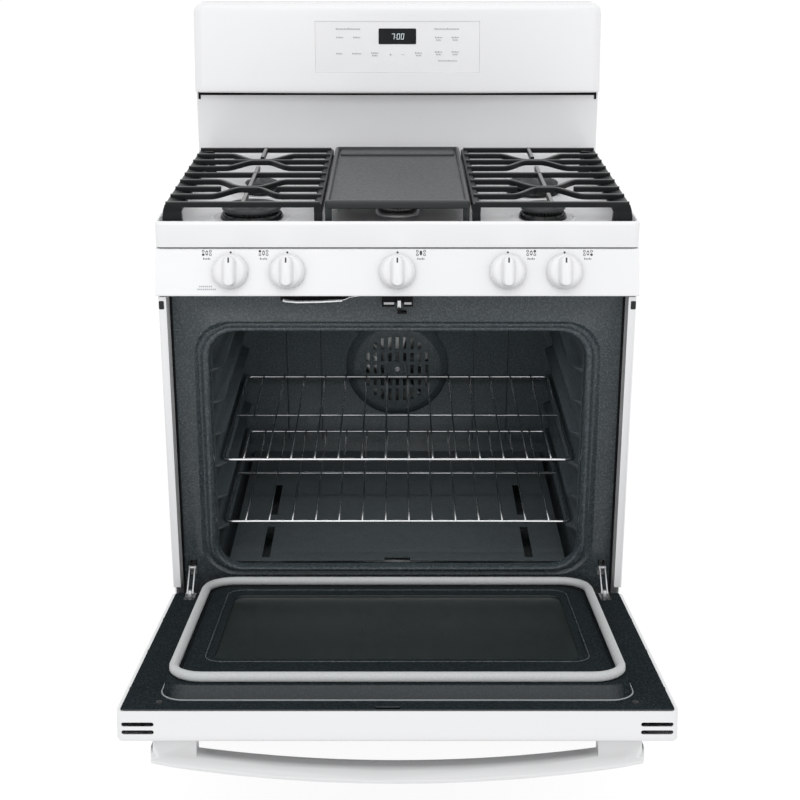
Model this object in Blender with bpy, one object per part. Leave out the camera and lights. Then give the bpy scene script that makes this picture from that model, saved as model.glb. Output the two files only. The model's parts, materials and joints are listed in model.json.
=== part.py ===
"""Freestanding gas range, 30 inch class, with its oven door open on its stop.

Metres, +Z up. The origin is on the floor, under the middle of the range's box with the door open.
+X is the user's right, -Y is towards the user. Depths are counted from the cooktop's front lip
towards the wall, so front(0.1) is 100 mm behind the lip.
"""

from math import asin, cos, hypot, pi, radians, sin, sqrt

import bmesh
import bpy
from mathutils import Vector

# Driving dimensions
HALF_WIDTH = 0.3799
BODY_HALF = 0.3766
BODY_DEPTH = 0.615
REAR_Y = 0.5701
LIP_Y = REAR_Y - BODY_DEPTH
HEIGHT = 1.200
GAP = 0.0003
SHEET = 0.002

# Cooktop and burners
COOKTOP_Z = (0.8797, 0.921)
DECK_Z = 0.900
COOKTOP_BACK = 0.549
CAP_TOP_Z = 0.922
BURNERS = {
    "left_front": (-0.238, 0.115, 0.049),
    "left_rear": (-0.238, 0.300, 0.029),
    "right_front": (0.238, 0.115, 0.037),
    "right_rear": (0.238, 0.300, 0.044),
}
OVAL_BURNER = (0.0, 0.233, 0.034, 0.250)
BURNER_HOLE = 0.0235

# Grates and griddle
GRATE_TOP = 0.950
GRATE_X = (0.117, 0.364)
GRATE_DEPTHS = (0.0100, 0.4560)
GRIDDLE_HALF = 0.1140

# Control panel and knobs: the panel leans out towards its foot
PANEL_TOP = (0.000, 0.8770)
PANEL_FOOT = (-0.022, 0.8055)
PANEL_BACK = 0.016
PANEL_TILT = asin(0.022 / hypot(0.022, PANEL_TOP[1] - PANEL_FOOT[1]))
KNOB_X = (-0.262, -0.173, 0.0, 0.173, 0.262)
KNOB_Z = 0.843
KNOB_CLEARANCE = 0.004

# Oven
FRAME_D = 0.018
LINER = (0.3045, 0.262, 0.740, 0.040)
LINER_D = (0.0305, 0.515)
RACK_PITCH = 0.0575
LOWEST_RACK = 0.3767
RACK_HALF = 0.295
RACK_D = (0.065, 0.476)
RAIL_R = 0.003
ROD_R = 0.0018
FAN_Z = 0.500
FAN_R = 0.101
FAN_SLOT_PITCH = 0.0145
FAN_SLOTTED_R = 0.070

# Door, in its own closed frame: the origin is the hinge pin, -Y is its outer face
HINGE_D = -0.0206
HINGE_Z = 0.2853
DOOR_OPEN = radians(79.5)
DOOR_HALF = 0.379
DOOR_Z = (-0.0143, 0.4997)
DOOR_FACE = -0.0490
DOOR_BULGE = -0.0580
HINGE_X = 0.348

# Drawer
DRAWER_Z = (0.060, 0.2345)
DRAWER_FACE = -0.0675

# Backguard
SPLASH_D = 0.550
SPLASH_TOP = 1.0397
CONSOLE_Z = (1.040, 1.200)
CONSOLE_BACK = 0.615
CONSOLE_CORNER = 0.018
TOUCH_X = 0.153
TOUCH_Z = (1.078, 1.171)

FINISHES = {
    "white_enamel": ((0.88, 0.885, 0.89), 0.22, 0.0),
    "white_plastic": ((0.86, 0.865, 0.87), 0.35, 0.0),
    "grey_membrane": ((0.72, 0.74, 0.76), 0.45, 0.0),
    "dark_porcelain": ((0.045, 0.055, 0.058), 0.28, 0.0),
    "cast_iron": ((0.030, 0.034, 0.035), 0.55, 0.0),
    "black_enamel": ((0.015, 0.016, 0.017), 0.35, 0.0),
    "chrome": ((0.75, 0.76, 0.77), 0.15, 1.0),
    "steel": ((0.55, 0.56, 0.57), 0.35, 1.0),
    "aluminium": ((0.62, 0.63, 0.64), 0.40, 1.0),
    "dark_glass": ((0.02, 0.025, 0.025), 0.05, 0.0),
    "gasket": ((0.55, 0.56, 0.55), 0.90, 0.0),
}


def front(depth):
    """World Y of a depth behind the cooktop's front lip."""
    return LIP_Y + depth


# Building blocks ------------------------------------------------------------------------------


def clear_scene():
    for obj in list(bpy.data.objects):
        bpy.data.objects.remove(obj, do_unlink=True)


def material(name, finish):
    color, roughness, metallic = FINISHES[finish]
    made = bpy.data.materials.new(name)
    made.use_nodes = True
    shader = made.node_tree.nodes["Principled BSDF"]
    shader.inputs["Base Color"].default_value = (*color, 1.0)
    shader.inputs["Roughness"].default_value = roughness
    shader.inputs["Metallic"].default_value = metallic
    return made


def add_object(name, shape):
    bmesh.ops.recalc_face_normals(shape, faces=shape.faces)
    mesh = bpy.data.meshes.new(name)
    shape.to_mesh(mesh)
    shape.free()
    mesh.shade_smooth()
    mesh.set_sharp_from_angle(angle=radians(32))
    obj = bpy.data.objects.new(name, mesh)
    bpy.context.scene.collection.objects.link(obj)
    return obj


def node(name, shape, finish, parent=None):
    """A sub-part of the range, with a material of its own."""
    obj = add_object(name, shape)
    obj.data.materials.append(material(name, finish))
    obj.parent = parent
    return obj


def combine(obj, operation, shape):
    """Joins a shape to an object, or cuts it away, with a Boolean on a hidden tool."""
    tool = add_object(f"{obj.name}_tool{len(obj.modifiers)}", shape)
    tool.hide_render = True
    tool.display_type = "WIRE"
    tool.parent = obj.parent
    tool.location = obj.location
    tool.rotation_euler = obj.rotation_euler
    modifier = obj.modifiers.new(operation.title(), "BOOLEAN")
    modifier.operation = operation
    modifier.solver = "EXACT"
    modifier.object = tool


def fuse(obj, shape):
    combine(obj, "UNION", shape)


def cut(obj, shape):
    combine(obj, "DIFFERENCE", shape)


def loft(rings, closed=False, into=None):
    """Skins rings of equally many points; the ends are capped, or joined into a loop."""
    shape = into or bmesh.new()
    rows = [[shape.verts.new(point) for point in ring] for ring in rings]
    pairs = list(zip(rows, rows[1:]))
    if closed:
        pairs.append((rows[-1], rows[0]))
    for lower, upper in pairs:
        for i in range(len(lower)):
            j = (i + 1) % len(lower)
            shape.faces.new((lower[i], lower[j], upper[j], upper[i]))
    if not closed:
        shape.faces.new(rows[0])
        shape.faces.new(rows[-1])
    return shape


def box(low, high, into=None):
    (x0, y0, z0), (x1, y1, z1) = low, high
    rings = [[(x0, y0, z), (x1, y0, z), (x1, y1, z), (x0, y1, z)] for z in (z0, z1)]
    return loft(rings, into=into)


def boxes(*corners):
    shape = bmesh.new()
    for low, high in corners:
        box(low, high, into=shape)
    return shape


def prism_x(outline, x0, x1, into=None):
    """Extrudes a (y, z) outline along X."""
    return loft([[(x, y, z) for y, z in outline] for x in (x0, x1)], into=into)


def rounded(half, low, high, radius, steps=4):
    """Points of an upright rounded rectangle about X = 0, as (x, height)."""
    points = []
    corners = ((half, high, 0), (-half, high, 1), (-half, low, 2), (half, low, 3))
    for x, height, quarter in corners:
        across = x - radius if x > 0 else x + radius
        up = height - radius if height == high else height + radius
        for step in range(steps + 1):
            angle = (quarter + step / steps) * pi / 2
            points.append((across + radius * cos(angle), up + radius * sin(angle)))
    return points


def upright_ring(half, low, high, radius, y, steps=4):
    return [(x, y, z) for x, z in rounded(half, low, high, radius, steps)]


def flat_ring(inset, z, half=HALF_WIDTH, near=0.0, far=COOKTOP_BACK, radius=0.010):
    """A level rounded rectangle, drawn in from its outline by inset."""
    corner = max(radius - inset, 0.0015)
    plan = rounded(half - inset, near + inset, far - inset, corner)
    return [(x, front(d), z) for x, d in plan]


def turned(profile, steps=32, closed=False, centre=(0, 0, 0), into=None, squeeze=None):
    """Turns (radius, height) points about Z; squeeze maps a circle's point to an oval's."""
    shape = into or bmesh.new()
    rows = []
    for radius, height in profile:
        if radius < 1e-6:
            rows.append([shape.verts.new((centre[0], centre[1], centre[2] + height))])
            continue
        row = []
        for i in range(steps):
            x, y = radius * cos(2 * pi * i / steps), radius * sin(2 * pi * i / steps)
            if squeeze:
                x, y = squeeze(x, y)
            row.append(shape.verts.new((centre[0] + x, centre[1] + y, centre[2] + height)))
        rows.append(row)
    pairs = list(zip(rows, rows[1:]))
    if closed:
        pairs.append((rows[-1], rows[0]))
    for lower, upper in pairs:
        for i in range(steps):
            j = (i + 1) % steps
            corners = [lower[i % len(lower)], lower[j % len(lower)]]
            corners += [upper[j % len(upper)], upper[i % len(upper)]]
            distinct = list(dict.fromkeys(corners))
            if len(distinct) > 2:
                shape.faces.new(distinct)
    return shape


def turned_along_y(profile, steps=32, closed=False, centre=(0, 0, 0)):
    """Turns (radius, y) points about the Y axis through centre."""
    shape = turned(profile, steps, closed)
    for vert in shape.verts:
        x, y, z = vert.co
        vert.co = (centre[0] + x, centre[1] + z, centre[2] + y)
    return shape


def cylinder_z(x, y, z0, z1, radius, steps=16, into=None):
    profile = ((0, z0), (radius, z0), (radius, z1), (0, z1))
    return turned(profile, steps, centre=(x, y, 0), into=into)


def tube(path, radius, sides=8, closed=False, into=None):
    """A round bar along a path, its section carried from point to point without twisting."""
    points = [Vector(point) for point in path]
    count = len(points)
    side = None
    rings = []
    for i, point in enumerate(points):
        before = points[(i - 1) % count] if closed or i else point
        after = points[(i + 1) % count] if closed or i < count - 1 else point
        along = (after - before).normalized()
        if side is None:
            guess = Vector((0, 0, 1)) if abs(along.z) < 0.9 else Vector((1, 0, 0))
            side = along.cross(guess)
        side = (side - along * side.dot(along)).normalized()
        other = along.cross(side)
        angles = [2 * pi * (k + 0.5) / sides for k in range(sides)]
        rings.append([point + radius * (side * cos(a) + other * sin(a)) for a in angles])
    return loft(rings, closed, into)


def bend(points, radius, steps=4):
    """Rounds the inner corners of a path of straight runs."""
    corners = [Vector(point) for point in points]
    path = [corners[0]]
    for before, corner, after in zip(corners, corners[1:], corners[2:]):
        start = corner + (before - corner).normalized() * radius
        end = corner + (after - corner).normalized() * radius
        for i in range(steps + 1):
            t = i / steps
            path.append(start * (1 - t) ** 2 + corner * 2 * t * (1 - t) + end * t * t)
    return path + [corners[-1]]


def ribbon(path, section, into=None):
    """Sweeps a (sideways, up) section along a level path."""
    points = [Vector(point) for point in path]
    rings = []
    for i, point in enumerate(points):
        along = points[min(i + 1, len(points) - 1)] - points[max(i - 1, 0)]
        side = Vector((along.y, -along.x, 0)).normalized()
        rings.append([point + side * s + Vector((0, 0, up)) for s, up in section])
    return loft(rings, into=into)


# Body -----------------------------------------------------------------------------------------


def side_panel(name, sign):
    back, rear_foot = front(0.6125), 0.030
    outline = [
        (back, rear_foot), (back, 0.8745), (front(0.0165), 0.8745), (front(0.0165), 0.8035),
        (front(-0.0155), 0.8035), (front(-0.0155), 0.2925), (front(0.002), 0.2925),
        (front(0.002), rear_foot),
    ]
    panel = node(name, prism_x(outline, sign * (BODY_HALF - SHEET), sign * BODY_HALF), "white_enamel")
    inner, outer = sorted((sign * 0.3646, sign * (BODY_HALF - 0.001)))
    near, far = front(-0.0154), front(-0.0134)
    fuse(panel, box((inner, near, 0.2930), (outer, far, 0.8030)))
    inner, outer = sorted((sign * 0.3646, sign * 0.3662))
    fuse(panel, box((inner, front(-0.0144), 0.2935), (outer, front(0.0170), 0.8025)))


def rear_panel():
    sheet = box((-BODY_HALF, front(0.6136), 0.030), (BODY_HALF, front(0.6150), 0.8745))
    panel = node("rear_panel", sheet, "steel")
    cut(panel, box((0.300, front(0.60), 0.060), (0.360, front(0.63), 0.160)))


def base_frame():
    """A ring of steel angle: an upright wall round the outside and a flange that the feet screw into."""
    angle = (
        (0.366, 0.006, 0.606, 0.030), (0.366, 0.006, 0.606, 0.056), (0.364, 0.008, 0.604, 0.056),
        (0.364, 0.008, 0.604, 0.033), (0.326, 0.046, 0.566, 0.033), (0.326, 0.046, 0.566, 0.030),
    )
    rings = []
    for half, near, far, z in angle:
        rings.append([(-half, front(near), z), (half, front(near), z),
                      (half, front(far), z), (-half, front(far), z)])
    base = node("base_frame", loft(rings, closed=True), "steel")
    holes = bmesh.new()
    for x, depth in feet_places().values():
        cylinder_z(x, front(depth), 0.02, 0.07, 0.0058, into=holes)
    cut(base, holes)


def feet_places():
    return {
        "left_front": (-0.346, 0.026), "right_front": (0.346, 0.026),
        "left_rear": (-0.346, 0.586), "right_rear": (0.346, 0.586),
    }


def levelling_feet():
    profile = (
        (0, 0), (0.017, 0), (0.019, 0.002), (0.019, 0.007), (0.009, 0.010), (0.009, 0.018),
        (0.0052, 0.018), (0.0052, 0.064), (0, 0.064),
    )
    for place, (x, depth) in feet_places().items():
        foot = node(f"levelling_foot_{place}", turned(profile, 24), "steel")
        foot.location = (x, front(depth), 0)


# Cooktop --------------------------------------------------------------------------------------


def cooktop():
    under = DECK_Z - 0.0025
    levels = (
        (0.0100, under), (0.0025, 0.9050), (0.0025, COOKTOP_Z[0]), (0.0, COOKTOP_Z[0]),
        (0.0, 0.9150), (0.0006, 0.9180), (0.0020, 0.9202), (0.0038, COOKTOP_Z[1]),
        (0.0054, 0.9203), (0.0066, 0.9180), (0.0078, 0.9040), (0.0086, DECK_Z),
    )
    tray = node("cooktop", loft([flat_ring(inset, z) for inset, z in levels]), "white_enamel")
    holes = bmesh.new()
    for x, depth, _ in BURNERS.values():
        cylinder_z(x, front(depth), 0.88, 0.93, BURNER_HOLE + GAP, 24, into=holes)
    x, depth, _, _ = OVAL_BURNER
    cylinder_z(x, front(depth), 0.88, 0.93, BURNER_HOLE + GAP, 24, into=holes)
    cut(tray, holes)


def burner_base_profile(radius):
    top = CAP_TOP_Z - 0.0078 - DECK_Z
    return (
        (0, -0.016), (BURNER_HOLE, -0.016), (BURNER_HOLE, GAP), (radius + 0.0015, GAP),
        (radius + 0.0025, 0.0022), (radius - 0.0002, 0.0085), (radius - 0.0045, 0.0105),
        (radius - 0.0055, top), (0, top),
    )


def burner_cap_profile(radius):
    return (
        (0, 0), (radius - 0.0025, 0), (radius, 0.0018), (radius, 0.0038),
        (radius - 0.0022, 0.0060), (radius * 0.75, 0.0072), (0, 0.0075),
    )


def round_burners():
    for place, (x, depth, radius) in BURNERS.items():
        base = turned(burner_base_profile(radius), 32, centre=(0, 0, 0))
        node(f"burner_base_{place}", base, "aluminium").location = (x, front(depth), DECK_Z)
        cap = node(f"burner_cap_{place}", turned(burner_cap_profile(radius), 32), "black_enamel")
        cap.location = (x, front(depth), CAP_TOP_Z - 0.0075)


def oval_burner():
    x, depth, half, length = OVAL_BURNER
    stretch = length / 2 - half

    def squeeze(px, py):
        reach = hypot(px, py)
        share = min(1.0, max(0.0, (reach - BURNER_HOLE) / (half * 0.7 - BURNER_HOLE)))
        shift = stretch * share
        return px, py + (shift if py > 1e-9 else -shift if py < -1e-9 else 0.0)

    base = turned(burner_base_profile(half), 32, squeeze=squeeze)
    node("burner_base_oval", base, "aluminium").location = (x, front(depth), DECK_Z)
    cap = turned(burner_cap_profile(half), 32, squeeze=squeeze)
    cap = node("burner_cap_oval", cap, "black_enamel")
    cap.location = (x, front(depth), CAP_TOP_Z - 0.0075)


# Grates ---------------------------------------------------------------------------------------

BAR = (
    (-0.0036, -0.0092), (0.0036, -0.0092), (0.0036, -0.0016), (0.0024, 0), (-0.0024, 0), (-0.0036, -0.0016),
)
FINGER = ((-0.0034, -0.0100), (0.0034, -0.0100), (0.0034, -0.0012), (0, -0.0006), (-0.0034, -0.0012))


def row_depth(row):
    """Depth of a grate's bar, counted from 0 at the back rail to 8 at the front rail."""
    near, far = GRATE_DEPTHS[0] + 0.0045, GRATE_DEPTHS[1] - 0.0045
    return far + (near - far) * row / 8


def wavy_path(x0, x1, row, towards, z):
    """A bar that swings from its own row to the next one in the grate's middle."""
    middle, path = (x0 + x1) / 2, []
    for i in range(17):
        x = x0 + (x1 - x0) * i / 16
        away = min(1.0, max(0.0, (abs(x - middle) - 0.012) / 0.046))
        swing = 1 - away * away * (3 - 2 * away)
        depth = row_depth(row) + (row_depth(towards) - row_depth(row)) * swing * 0.93
        path.append((x, front(depth), z))
    return path


def grate(name, sign):
    inner, outer = sign * GRATE_X[0], sign * GRATE_X[1]
    start, end = inner + sign * 0.0060, outer - sign * 0.0015
    top = GRATE_TOP
    middle = (start + end) / 2

    def bar(row, x0, x1, into):
        ribbon([(x0, front(row_depth(row)), top), (x1, front(row_depth(row)), top)], BAR, into)

    straight = bmesh.new()
    for row in (0, 2, 4, 8):
        bar(row, start, end, straight)
    bar(6, start, middle - sign * 0.046, straight)
    bar(6, middle + sign * 0.046, end, straight)
    made = node(name, straight, "cast_iron")
    for rows, drop in ((((1, 2), (5, 6)), 0.0004), (((3, 2), (7, 6)), 0.0007)):
        waves = bmesh.new()
        for row, towards in rows:
            ribbon(wavy_path(start, end, row, towards, top - drop), BAR, waves)
        fuse(made, waves)
    fuse(made, grate_rails(sign, inner, outer))
    fuse(made, grate_fingers(middle))
    fuse(made, grate_legs(sign, inner, outer))


def grate_rails(sign, inner, outer):
    """The inner rail and the sloping outer rail that the bars end on."""
    near, far = front(GRATE_DEPTHS[0]), front(GRATE_DEPTHS[1])
    rails = bmesh.new()
    sections = (
        ((0, -0.017), (0, -0.006), (0.003, -0.0035), (0.011, -0.0035), (0.0135, -0.006), (0.0135, -0.017)),
        ((0, -0.016), (0.0003, -0.0080), (-0.004, -0.0055), (-0.027, -0.0110), (-0.027, -0.0150)),
    )
    for x, section in ((inner, sections[0]), (outer, sections[1])):
        outline = [(x + sign * across, GRATE_TOP + up) for across, up in section]
        loft([[(px, y, pz) for px, pz in outline] for y in (near + 0.0008, far - 0.0008)], into=rails)
    return rails


def grate_fingers(middle):
    """Short bars that run in depth, over the burners."""
    fingers = bmesh.new()
    for start, end in ((0.004, 0.0680), (0.119, 0.279), (0.359, 0.4505)):
        near, far = GRATE_DEPTHS[0] + start, GRATE_DEPTHS[0] + end
        path = [(middle, front(near), GRATE_TOP - 0.0002), (middle, front(far), GRATE_TOP - 0.0002)]
        ribbon(path, FINGER, fingers)
    return fingers


def grate_legs(sign, inner, outer):
    """Four corner legs; the outer ones flare out to the cooktop's rim."""
    legs = bmesh.new()
    near, far = GRATE_DEPTHS
    foot = DECK_Z + GAP
    for depth0, depth1 in ((near + 0.0015, near + 0.0125), (far - 0.0125, far - 0.0015)):
        top = [(outer + sign * 0.0002, 0.9385), (outer - sign * 0.0250, 0.9375)]
        base = [(outer + sign * 0.0058, foot), (outer - sign * 0.0275, foot)]
        wedge(legs, base, top, depth0, depth1)
        top = [(inner + sign * 0.0008, 0.9400), (inner + sign * 0.0125, 0.9395)]
        base = [(inner + sign * 0.0008, foot), (inner + sign * 0.0145, foot)]
        wedge(legs, base, top, depth0, depth1)
    return legs


def wedge(into, base, top, depth0, depth1):
    rings = []
    for (x0, z0), (x1, z1) in (base, top):
        rings.append([(x0, front(depth0), z0), (x1, front(depth0), z1),
                      (x1, front(depth1), z1), (x0, front(depth1), z0)])
    loft(rings, into=into)


def griddle():
    near, far = GRATE_DEPTHS

    def ring(inset, z, lip=0.0):
        return flat_ring(inset, z, GRIDDLE_HALF, near + lip, far, 0.006)

    levels = (
        (0.0090, 0.9405), (0.0045, 0.9405), (0.0045, 0.9390), (0.0008, 0.9390), (0.0, 0.9405),
        (0.0, 0.9480), (0.0012, 0.9503), (0.0034, 0.9515),
    )
    rim = ((0.0060, 0.9515, 0.0035), (0.0072, 0.9502, 0.0042), (0.0082, 0.9460, 0.0048))
    rings = [ring(inset, z) for inset, z in levels] + [ring(*corner) for corner in rim]
    made = node("griddle", loft(rings), "cast_iron")
    legs = bmesh.new()
    for side in (-1, 1):
        for depth in (near + 0.001, far - 0.011):
            low, high = sorted((side * 0.1030, side * 0.1132))
            box((low, front(depth), DECK_Z + GAP), (high, front(depth + 0.010), 0.9420), into=legs)
    fuse(made, legs)
    ledge = [flat_ring(inset, z, 0.1030, far - 0.0600, far - 0.0110, 0.006)
             for inset, z in ((0.0, 0.9440), (0.0, 0.9475), (0.0018, 0.9487))]
    fuse(made, loft(ledge))


# Controls -------------------------------------------------------------------------------------


def panel_depth(z):
    """Depth of the control panel's sloping face at a height."""
    share = (PANEL_TOP[1] - z) / (PANEL_TOP[1] - PANEL_FOOT[1])
    return PANEL_TOP[0] + (PANEL_FOOT[0] - PANEL_TOP[0]) * share


def place_on_panel(obj, x):
    """Puts an object on the panel's face with its +Z along the knob's axis."""
    obj.location = (x, front(panel_depth(KNOB_Z)), KNOB_Z)
    obj.rotation_euler = (pi / 2 - PANEL_TILT, 0, 0)


def control_panel():
    foot_d, foot_z = PANEL_FOOT
    outline = [
        (front(PANEL_TOP[0] + 0.0015), PANEL_TOP[1]), (front(panel_depth(0.8750)), 0.8750),
        (front(panel_depth(foot_z + 0.003)), foot_z + 0.003), (front(foot_d + 0.001), foot_z + 0.0007),
        (front(foot_d + 0.003), foot_z), (front(PANEL_BACK), foot_z), (front(PANEL_BACK), PANEL_TOP[1]),
    ]
    panel = node("control_panel", prism_x(outline, -HALF_WIDTH, HALF_WIDTH), "white_enamel")
    wall = 0.0024
    hollow = [
        (front(panel_depth(0.8745) + wall), 0.8745), (front(foot_d + 0.0035), foot_z + wall),
        (front(PANEL_BACK + 0.004), foot_z + wall), (front(PANEL_BACK + 0.004), 0.8745),
    ]
    cut(panel, prism_x(hollow, -HALF_WIDTH + 0.0022, HALF_WIDTH - 0.0022))
    holes = bmesh.new()
    for x in KNOB_X:
        hole = turned(((0, -0.012), (0.0062, -0.012), (0.0062, 0.012), (0, 0.012)), 20)
        lay_on_panel(hole, x)
        merge(hole, holes)
    cut(panel, holes)


def lay_on_panel(shape, x):
    """Moves a shape made about its own Z axis onto a knob's axis."""
    for vert in shape.verts:
        px, py, pz = vert.co
        y = front(panel_depth(KNOB_Z)) + py * sin(PANEL_TILT) - pz * cos(PANEL_TILT)
        z = KNOB_Z + py * cos(PANEL_TILT) + pz * sin(PANEL_TILT)
        vert.co = (x + px, y, z)


def merge(source, into):
    copies = {vert: into.verts.new(vert.co) for vert in source.verts}
    for face in source.faces:
        into.faces.new([copies[vert] for vert in face.verts])
    source.free()


def knobs():
    skirt = KNOB_CLEARANCE
    profile = (
        (0.0044, skirt), (0.0270, skirt), (0.0280, skirt + 0.0012), (0.0276, skirt + 0.0060),
        (0.0252, skirt + 0.0085), (0.0244, skirt + 0.0160), (0.0225, skirt + 0.0178),
        (0, skirt + 0.0180), (0, skirt + 0.0120), (0.0044, skirt + 0.0120),
    )
    stem = ((0, -0.0240), (0.0040, -0.0240), (0.0040, skirt + 0.0110), (0, skirt + 0.0110))
    for number, x in enumerate(KNOB_X, start=1):
        place_on_panel(node(f"valve_stem_{number}", turned(stem, 16), "steel"), x)
        knob = node(f"knob_{number}", turned_with_bore(profile), "white_plastic")
        place_on_panel(knob, x)
        grip = [[(-w, -0.0228, h), (w, -0.0228, h), (w, 0.0228, h), (-w, 0.0228, h)]
                for w, h in ((0.0062, skirt + 0.0150), (0.0050, skirt + 0.0250), (0.0038, skirt + 0.0262))]
        fuse(knob, loft(grip))


def turned_with_bore(profile):
    """A turned body whose profile runs round the outside, over the top and down a blind bore."""
    top = [point for point in profile if point[0] == 0]
    outside = list(profile[: profile.index(top[0])]) + [top[0]]
    bore = [top[1]] + list(profile[profile.index(top[1]) + 1:])
    steps = 26
    shape = turned(outside, steps)
    turned(bore + [profile[0]], steps, into=shape)
    bmesh.ops.remove_doubles(shape, verts=shape.verts, dist=1e-6)
    return shape


def manifold():
    """The gas pipe behind the control panel, with a valve body behind each knob."""
    inward = 0.052
    y = front(panel_depth(KNOB_Z)) + inward * cos(PANEL_TILT)
    z = KNOB_Z - inward * sin(PANEL_TILT)
    side_x, back_y = 0.346, front(0.588)
    path = bend([(-0.300, y, z), (side_x, y, z), (side_x, back_y, z), (side_x, back_y, 0.110)], 0.020)
    pipe = node("gas_manifold", tube(path, 0.009, 8), "steel")
    valves = bmesh.new()
    for x in KNOB_X:
        valve = turned(((0, -0.062), (0.011, -0.062), (0.011, -0.0330), (0.008, -0.0275), (0, -0.0275)), 12)
        lay_on_panel(valve, x)
        merge(valve, valves)
    fuse(pipe, valves)


# Oven -----------------------------------------------------------------------------------------


def mouth_ring(half, depth):
    """One ring of the oven's mouth; its foot, top and corners spread out together with its sides."""
    out = half - 0.3040
    return upright_ring(half, 0.3155 - 0.6 * out, 0.7350 + 0.65 * out, 0.045 + 0.5 * out, front(depth), 6)


def front_frame():
    """A flat frame with a lip, a groove and a bead round the oven's mouth; the bead meets the gasket."""
    outer = [upright_ring(0.3640, 0.2620, 0.8025, 0.003, front(depth), 6) for depth in (0.0205, 0.0180)]
    profile = (
        (0.3325, 0.0180), (0.3305, 0.0168), (0.3285, 0.0175), (0.3265, 0.0208), (0.3195, 0.0208),
        (0.3160, 0.0155), (0.3140, 0.0135), (0.3090, 0.0132), (0.3065, 0.0148), (0.3045, 0.0200),
        (0.3040, 0.0300), (0.3062, 0.0300), (0.3085, 0.0232), (0.3330, 0.0228),
    )
    rings = outer + [mouth_ring(half, depth) for half, depth in profile]
    frame = node("front_frame", loft(rings, closed=True), "dark_porcelain")
    slots = bmesh.new()
    for side in (-1, 1):
        low, high = side * HINGE_X - 0.0075, side * HINGE_X + 0.0075
        box((low, front(0.010), 0.2980), (high, front(0.030), 0.3270), into=slots)
    cut(frame, slots)


def oven_liner():
    half, low, high, radius = LINER
    near, far = front(LINER_D[0]), front(LINER_D[1])
    wall = 0.0015
    rings = [
        upright_ring(half, low, high, radius, far, 6),
        upright_ring(half, low, high, radius, near, 6),
        upright_ring(half + wall, low - wall, high + wall, radius + wall, near, 6),
        upright_ring(half + wall, low - wall, high + wall, radius + wall, far + wall, 6),
    ]
    liner = node("oven_liner", loft(rings), "dark_porcelain")
    ledges = bmesh.new()
    for step in range(6):
        top = LOWEST_RACK + step * RACK_PITCH - RAIL_R - GAP
        for side in (-1, 1):
            inner, outer = side * 0.2890, side * (half + 0.001)
            section = ((inner, top - 0.004), (inner, top), (outer, top + 0.001), (outer, top - 0.010))
            rings = []
            for depth, reach in ((0.046, 0.08), (0.062, 1.0), (0.490, 1.0), (0.504, 0.08)):
                rings.append([(outer + reach * (x - outer), front(depth), z) for x, z in section])
            loft(rings, into=ledges)
    fuse(liner, ledges)
    shaft_hole = turned_along_y(((0, 0.50), (0.0065, 0.50), (0.0065, 0.53), (0, 0.53)), 16)
    for vert in shaft_hole.verts:
        vert.co += Vector((0, LIP_Y, FAN_Z))
    cut(liner, shaft_hole)


def oven_floor():
    floor = node("oven_floor", box((-0.287, front(0.0335), 0.3165), (0.287, front(0.5130), 0.3185)),
                 "dark_porcelain")
    slots = bmesh.new()
    for side in (-1, 1):
        low, high = side * 0.226 - 0.007, side * 0.226 + 0.007
        for near, far in ((0.045, 0.167), (0.215, 0.350)):
            box((low, front(near), 0.31), (high, front(far), 0.33), into=slots)
    box((-0.022, front(0.030), 0.31), (0.022, front(0.046), 0.33), into=slots)
    cut(floor, slots)


def convection_fan():
    """The slotted cover on the oven's back wall, with the fan behind it."""
    wall_d = LINER_D[1] - GAP
    profile = (
        (FAN_R, wall_d), (FAN_R, wall_d - 0.0015), (FAN_R - 0.004, wall_d - 0.0030),
        (FAN_R - 0.012, wall_d - 0.0150), (FAN_R - 0.018, wall_d - 0.0170), (0.0, wall_d - 0.0175),
        (0.0, wall_d - 0.0160), (FAN_R - 0.0185, wall_d - 0.0155), (FAN_R - 0.0135, wall_d - 0.0135),
        (FAN_R - 0.0055, wall_d - 0.0020), (FAN_R - 0.006, wall_d),
    )
    cover = node("fan_cover", turned_along_y(profile, 36, closed=True), "dark_porcelain")
    cover.location = (0, LIP_Y, FAN_Z)
    slots = bmesh.new()
    for x, low, high in fan_slots():
        box((x - 0.0032, wall_d - 0.025, low), (x + 0.0032, wall_d - 0.010, high), into=slots)
    cut(cover, slots)
    fan_blade(wall_d)


def fan_slots():
    """Upright slots in columns, as (x, low, high) about the fan's axis, all within a circle."""
    bands = ((0.041, 0.066), (0.016, 0.034), (-0.009, 0.009), (-0.034, -0.016), (-0.066, -0.041))
    slots = []
    for column in range(-4, 5):
        x = column * FAN_SLOT_PITCH
        reach = sqrt(FAN_SLOTTED_R**2 - x * x)
        for low, high in bands:
            low, high = max(low, -reach), min(high, reach)
            if high - low > 0.008 and hypot(x, (low + high) / 2) > 0.017:
                slots.append((x, low, high))
    return slots


def fan_blade(wall_d):
    """Hub, shaft and back plate, with six blades standing on the plate."""
    profile = (
        (0, wall_d - 0.0140), (0.011, wall_d - 0.0140), (0.012, wall_d - 0.0050), (0.070, wall_d - 0.0030),
        (0.070, wall_d - 0.0018), (0.0050, wall_d - 0.0018), (0.0050, wall_d + 0.0350), (0, wall_d + 0.0350),
    )
    blade = node("fan_blade", turned_along_y(profile, 24), "aluminium")
    blade.location = (0, LIP_Y, FAN_Z)
    vanes = bmesh.new()
    for i in range(6):
        angle = 2 * pi * i / 6
        ring = [(0.016, -0.001), (0.016, 0.001), (0.068, 0.013), (0.068, 0.011)]
        plan = [(r * cos(angle) - w * sin(angle), r * sin(angle) + w * cos(angle)) for r, w in ring]
        loft([[(x, d, z) for x, z in plan] for d in (wall_d - 0.0128, wall_d - 0.0024)], into=vanes)
    fuse(blade, vanes)


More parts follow.
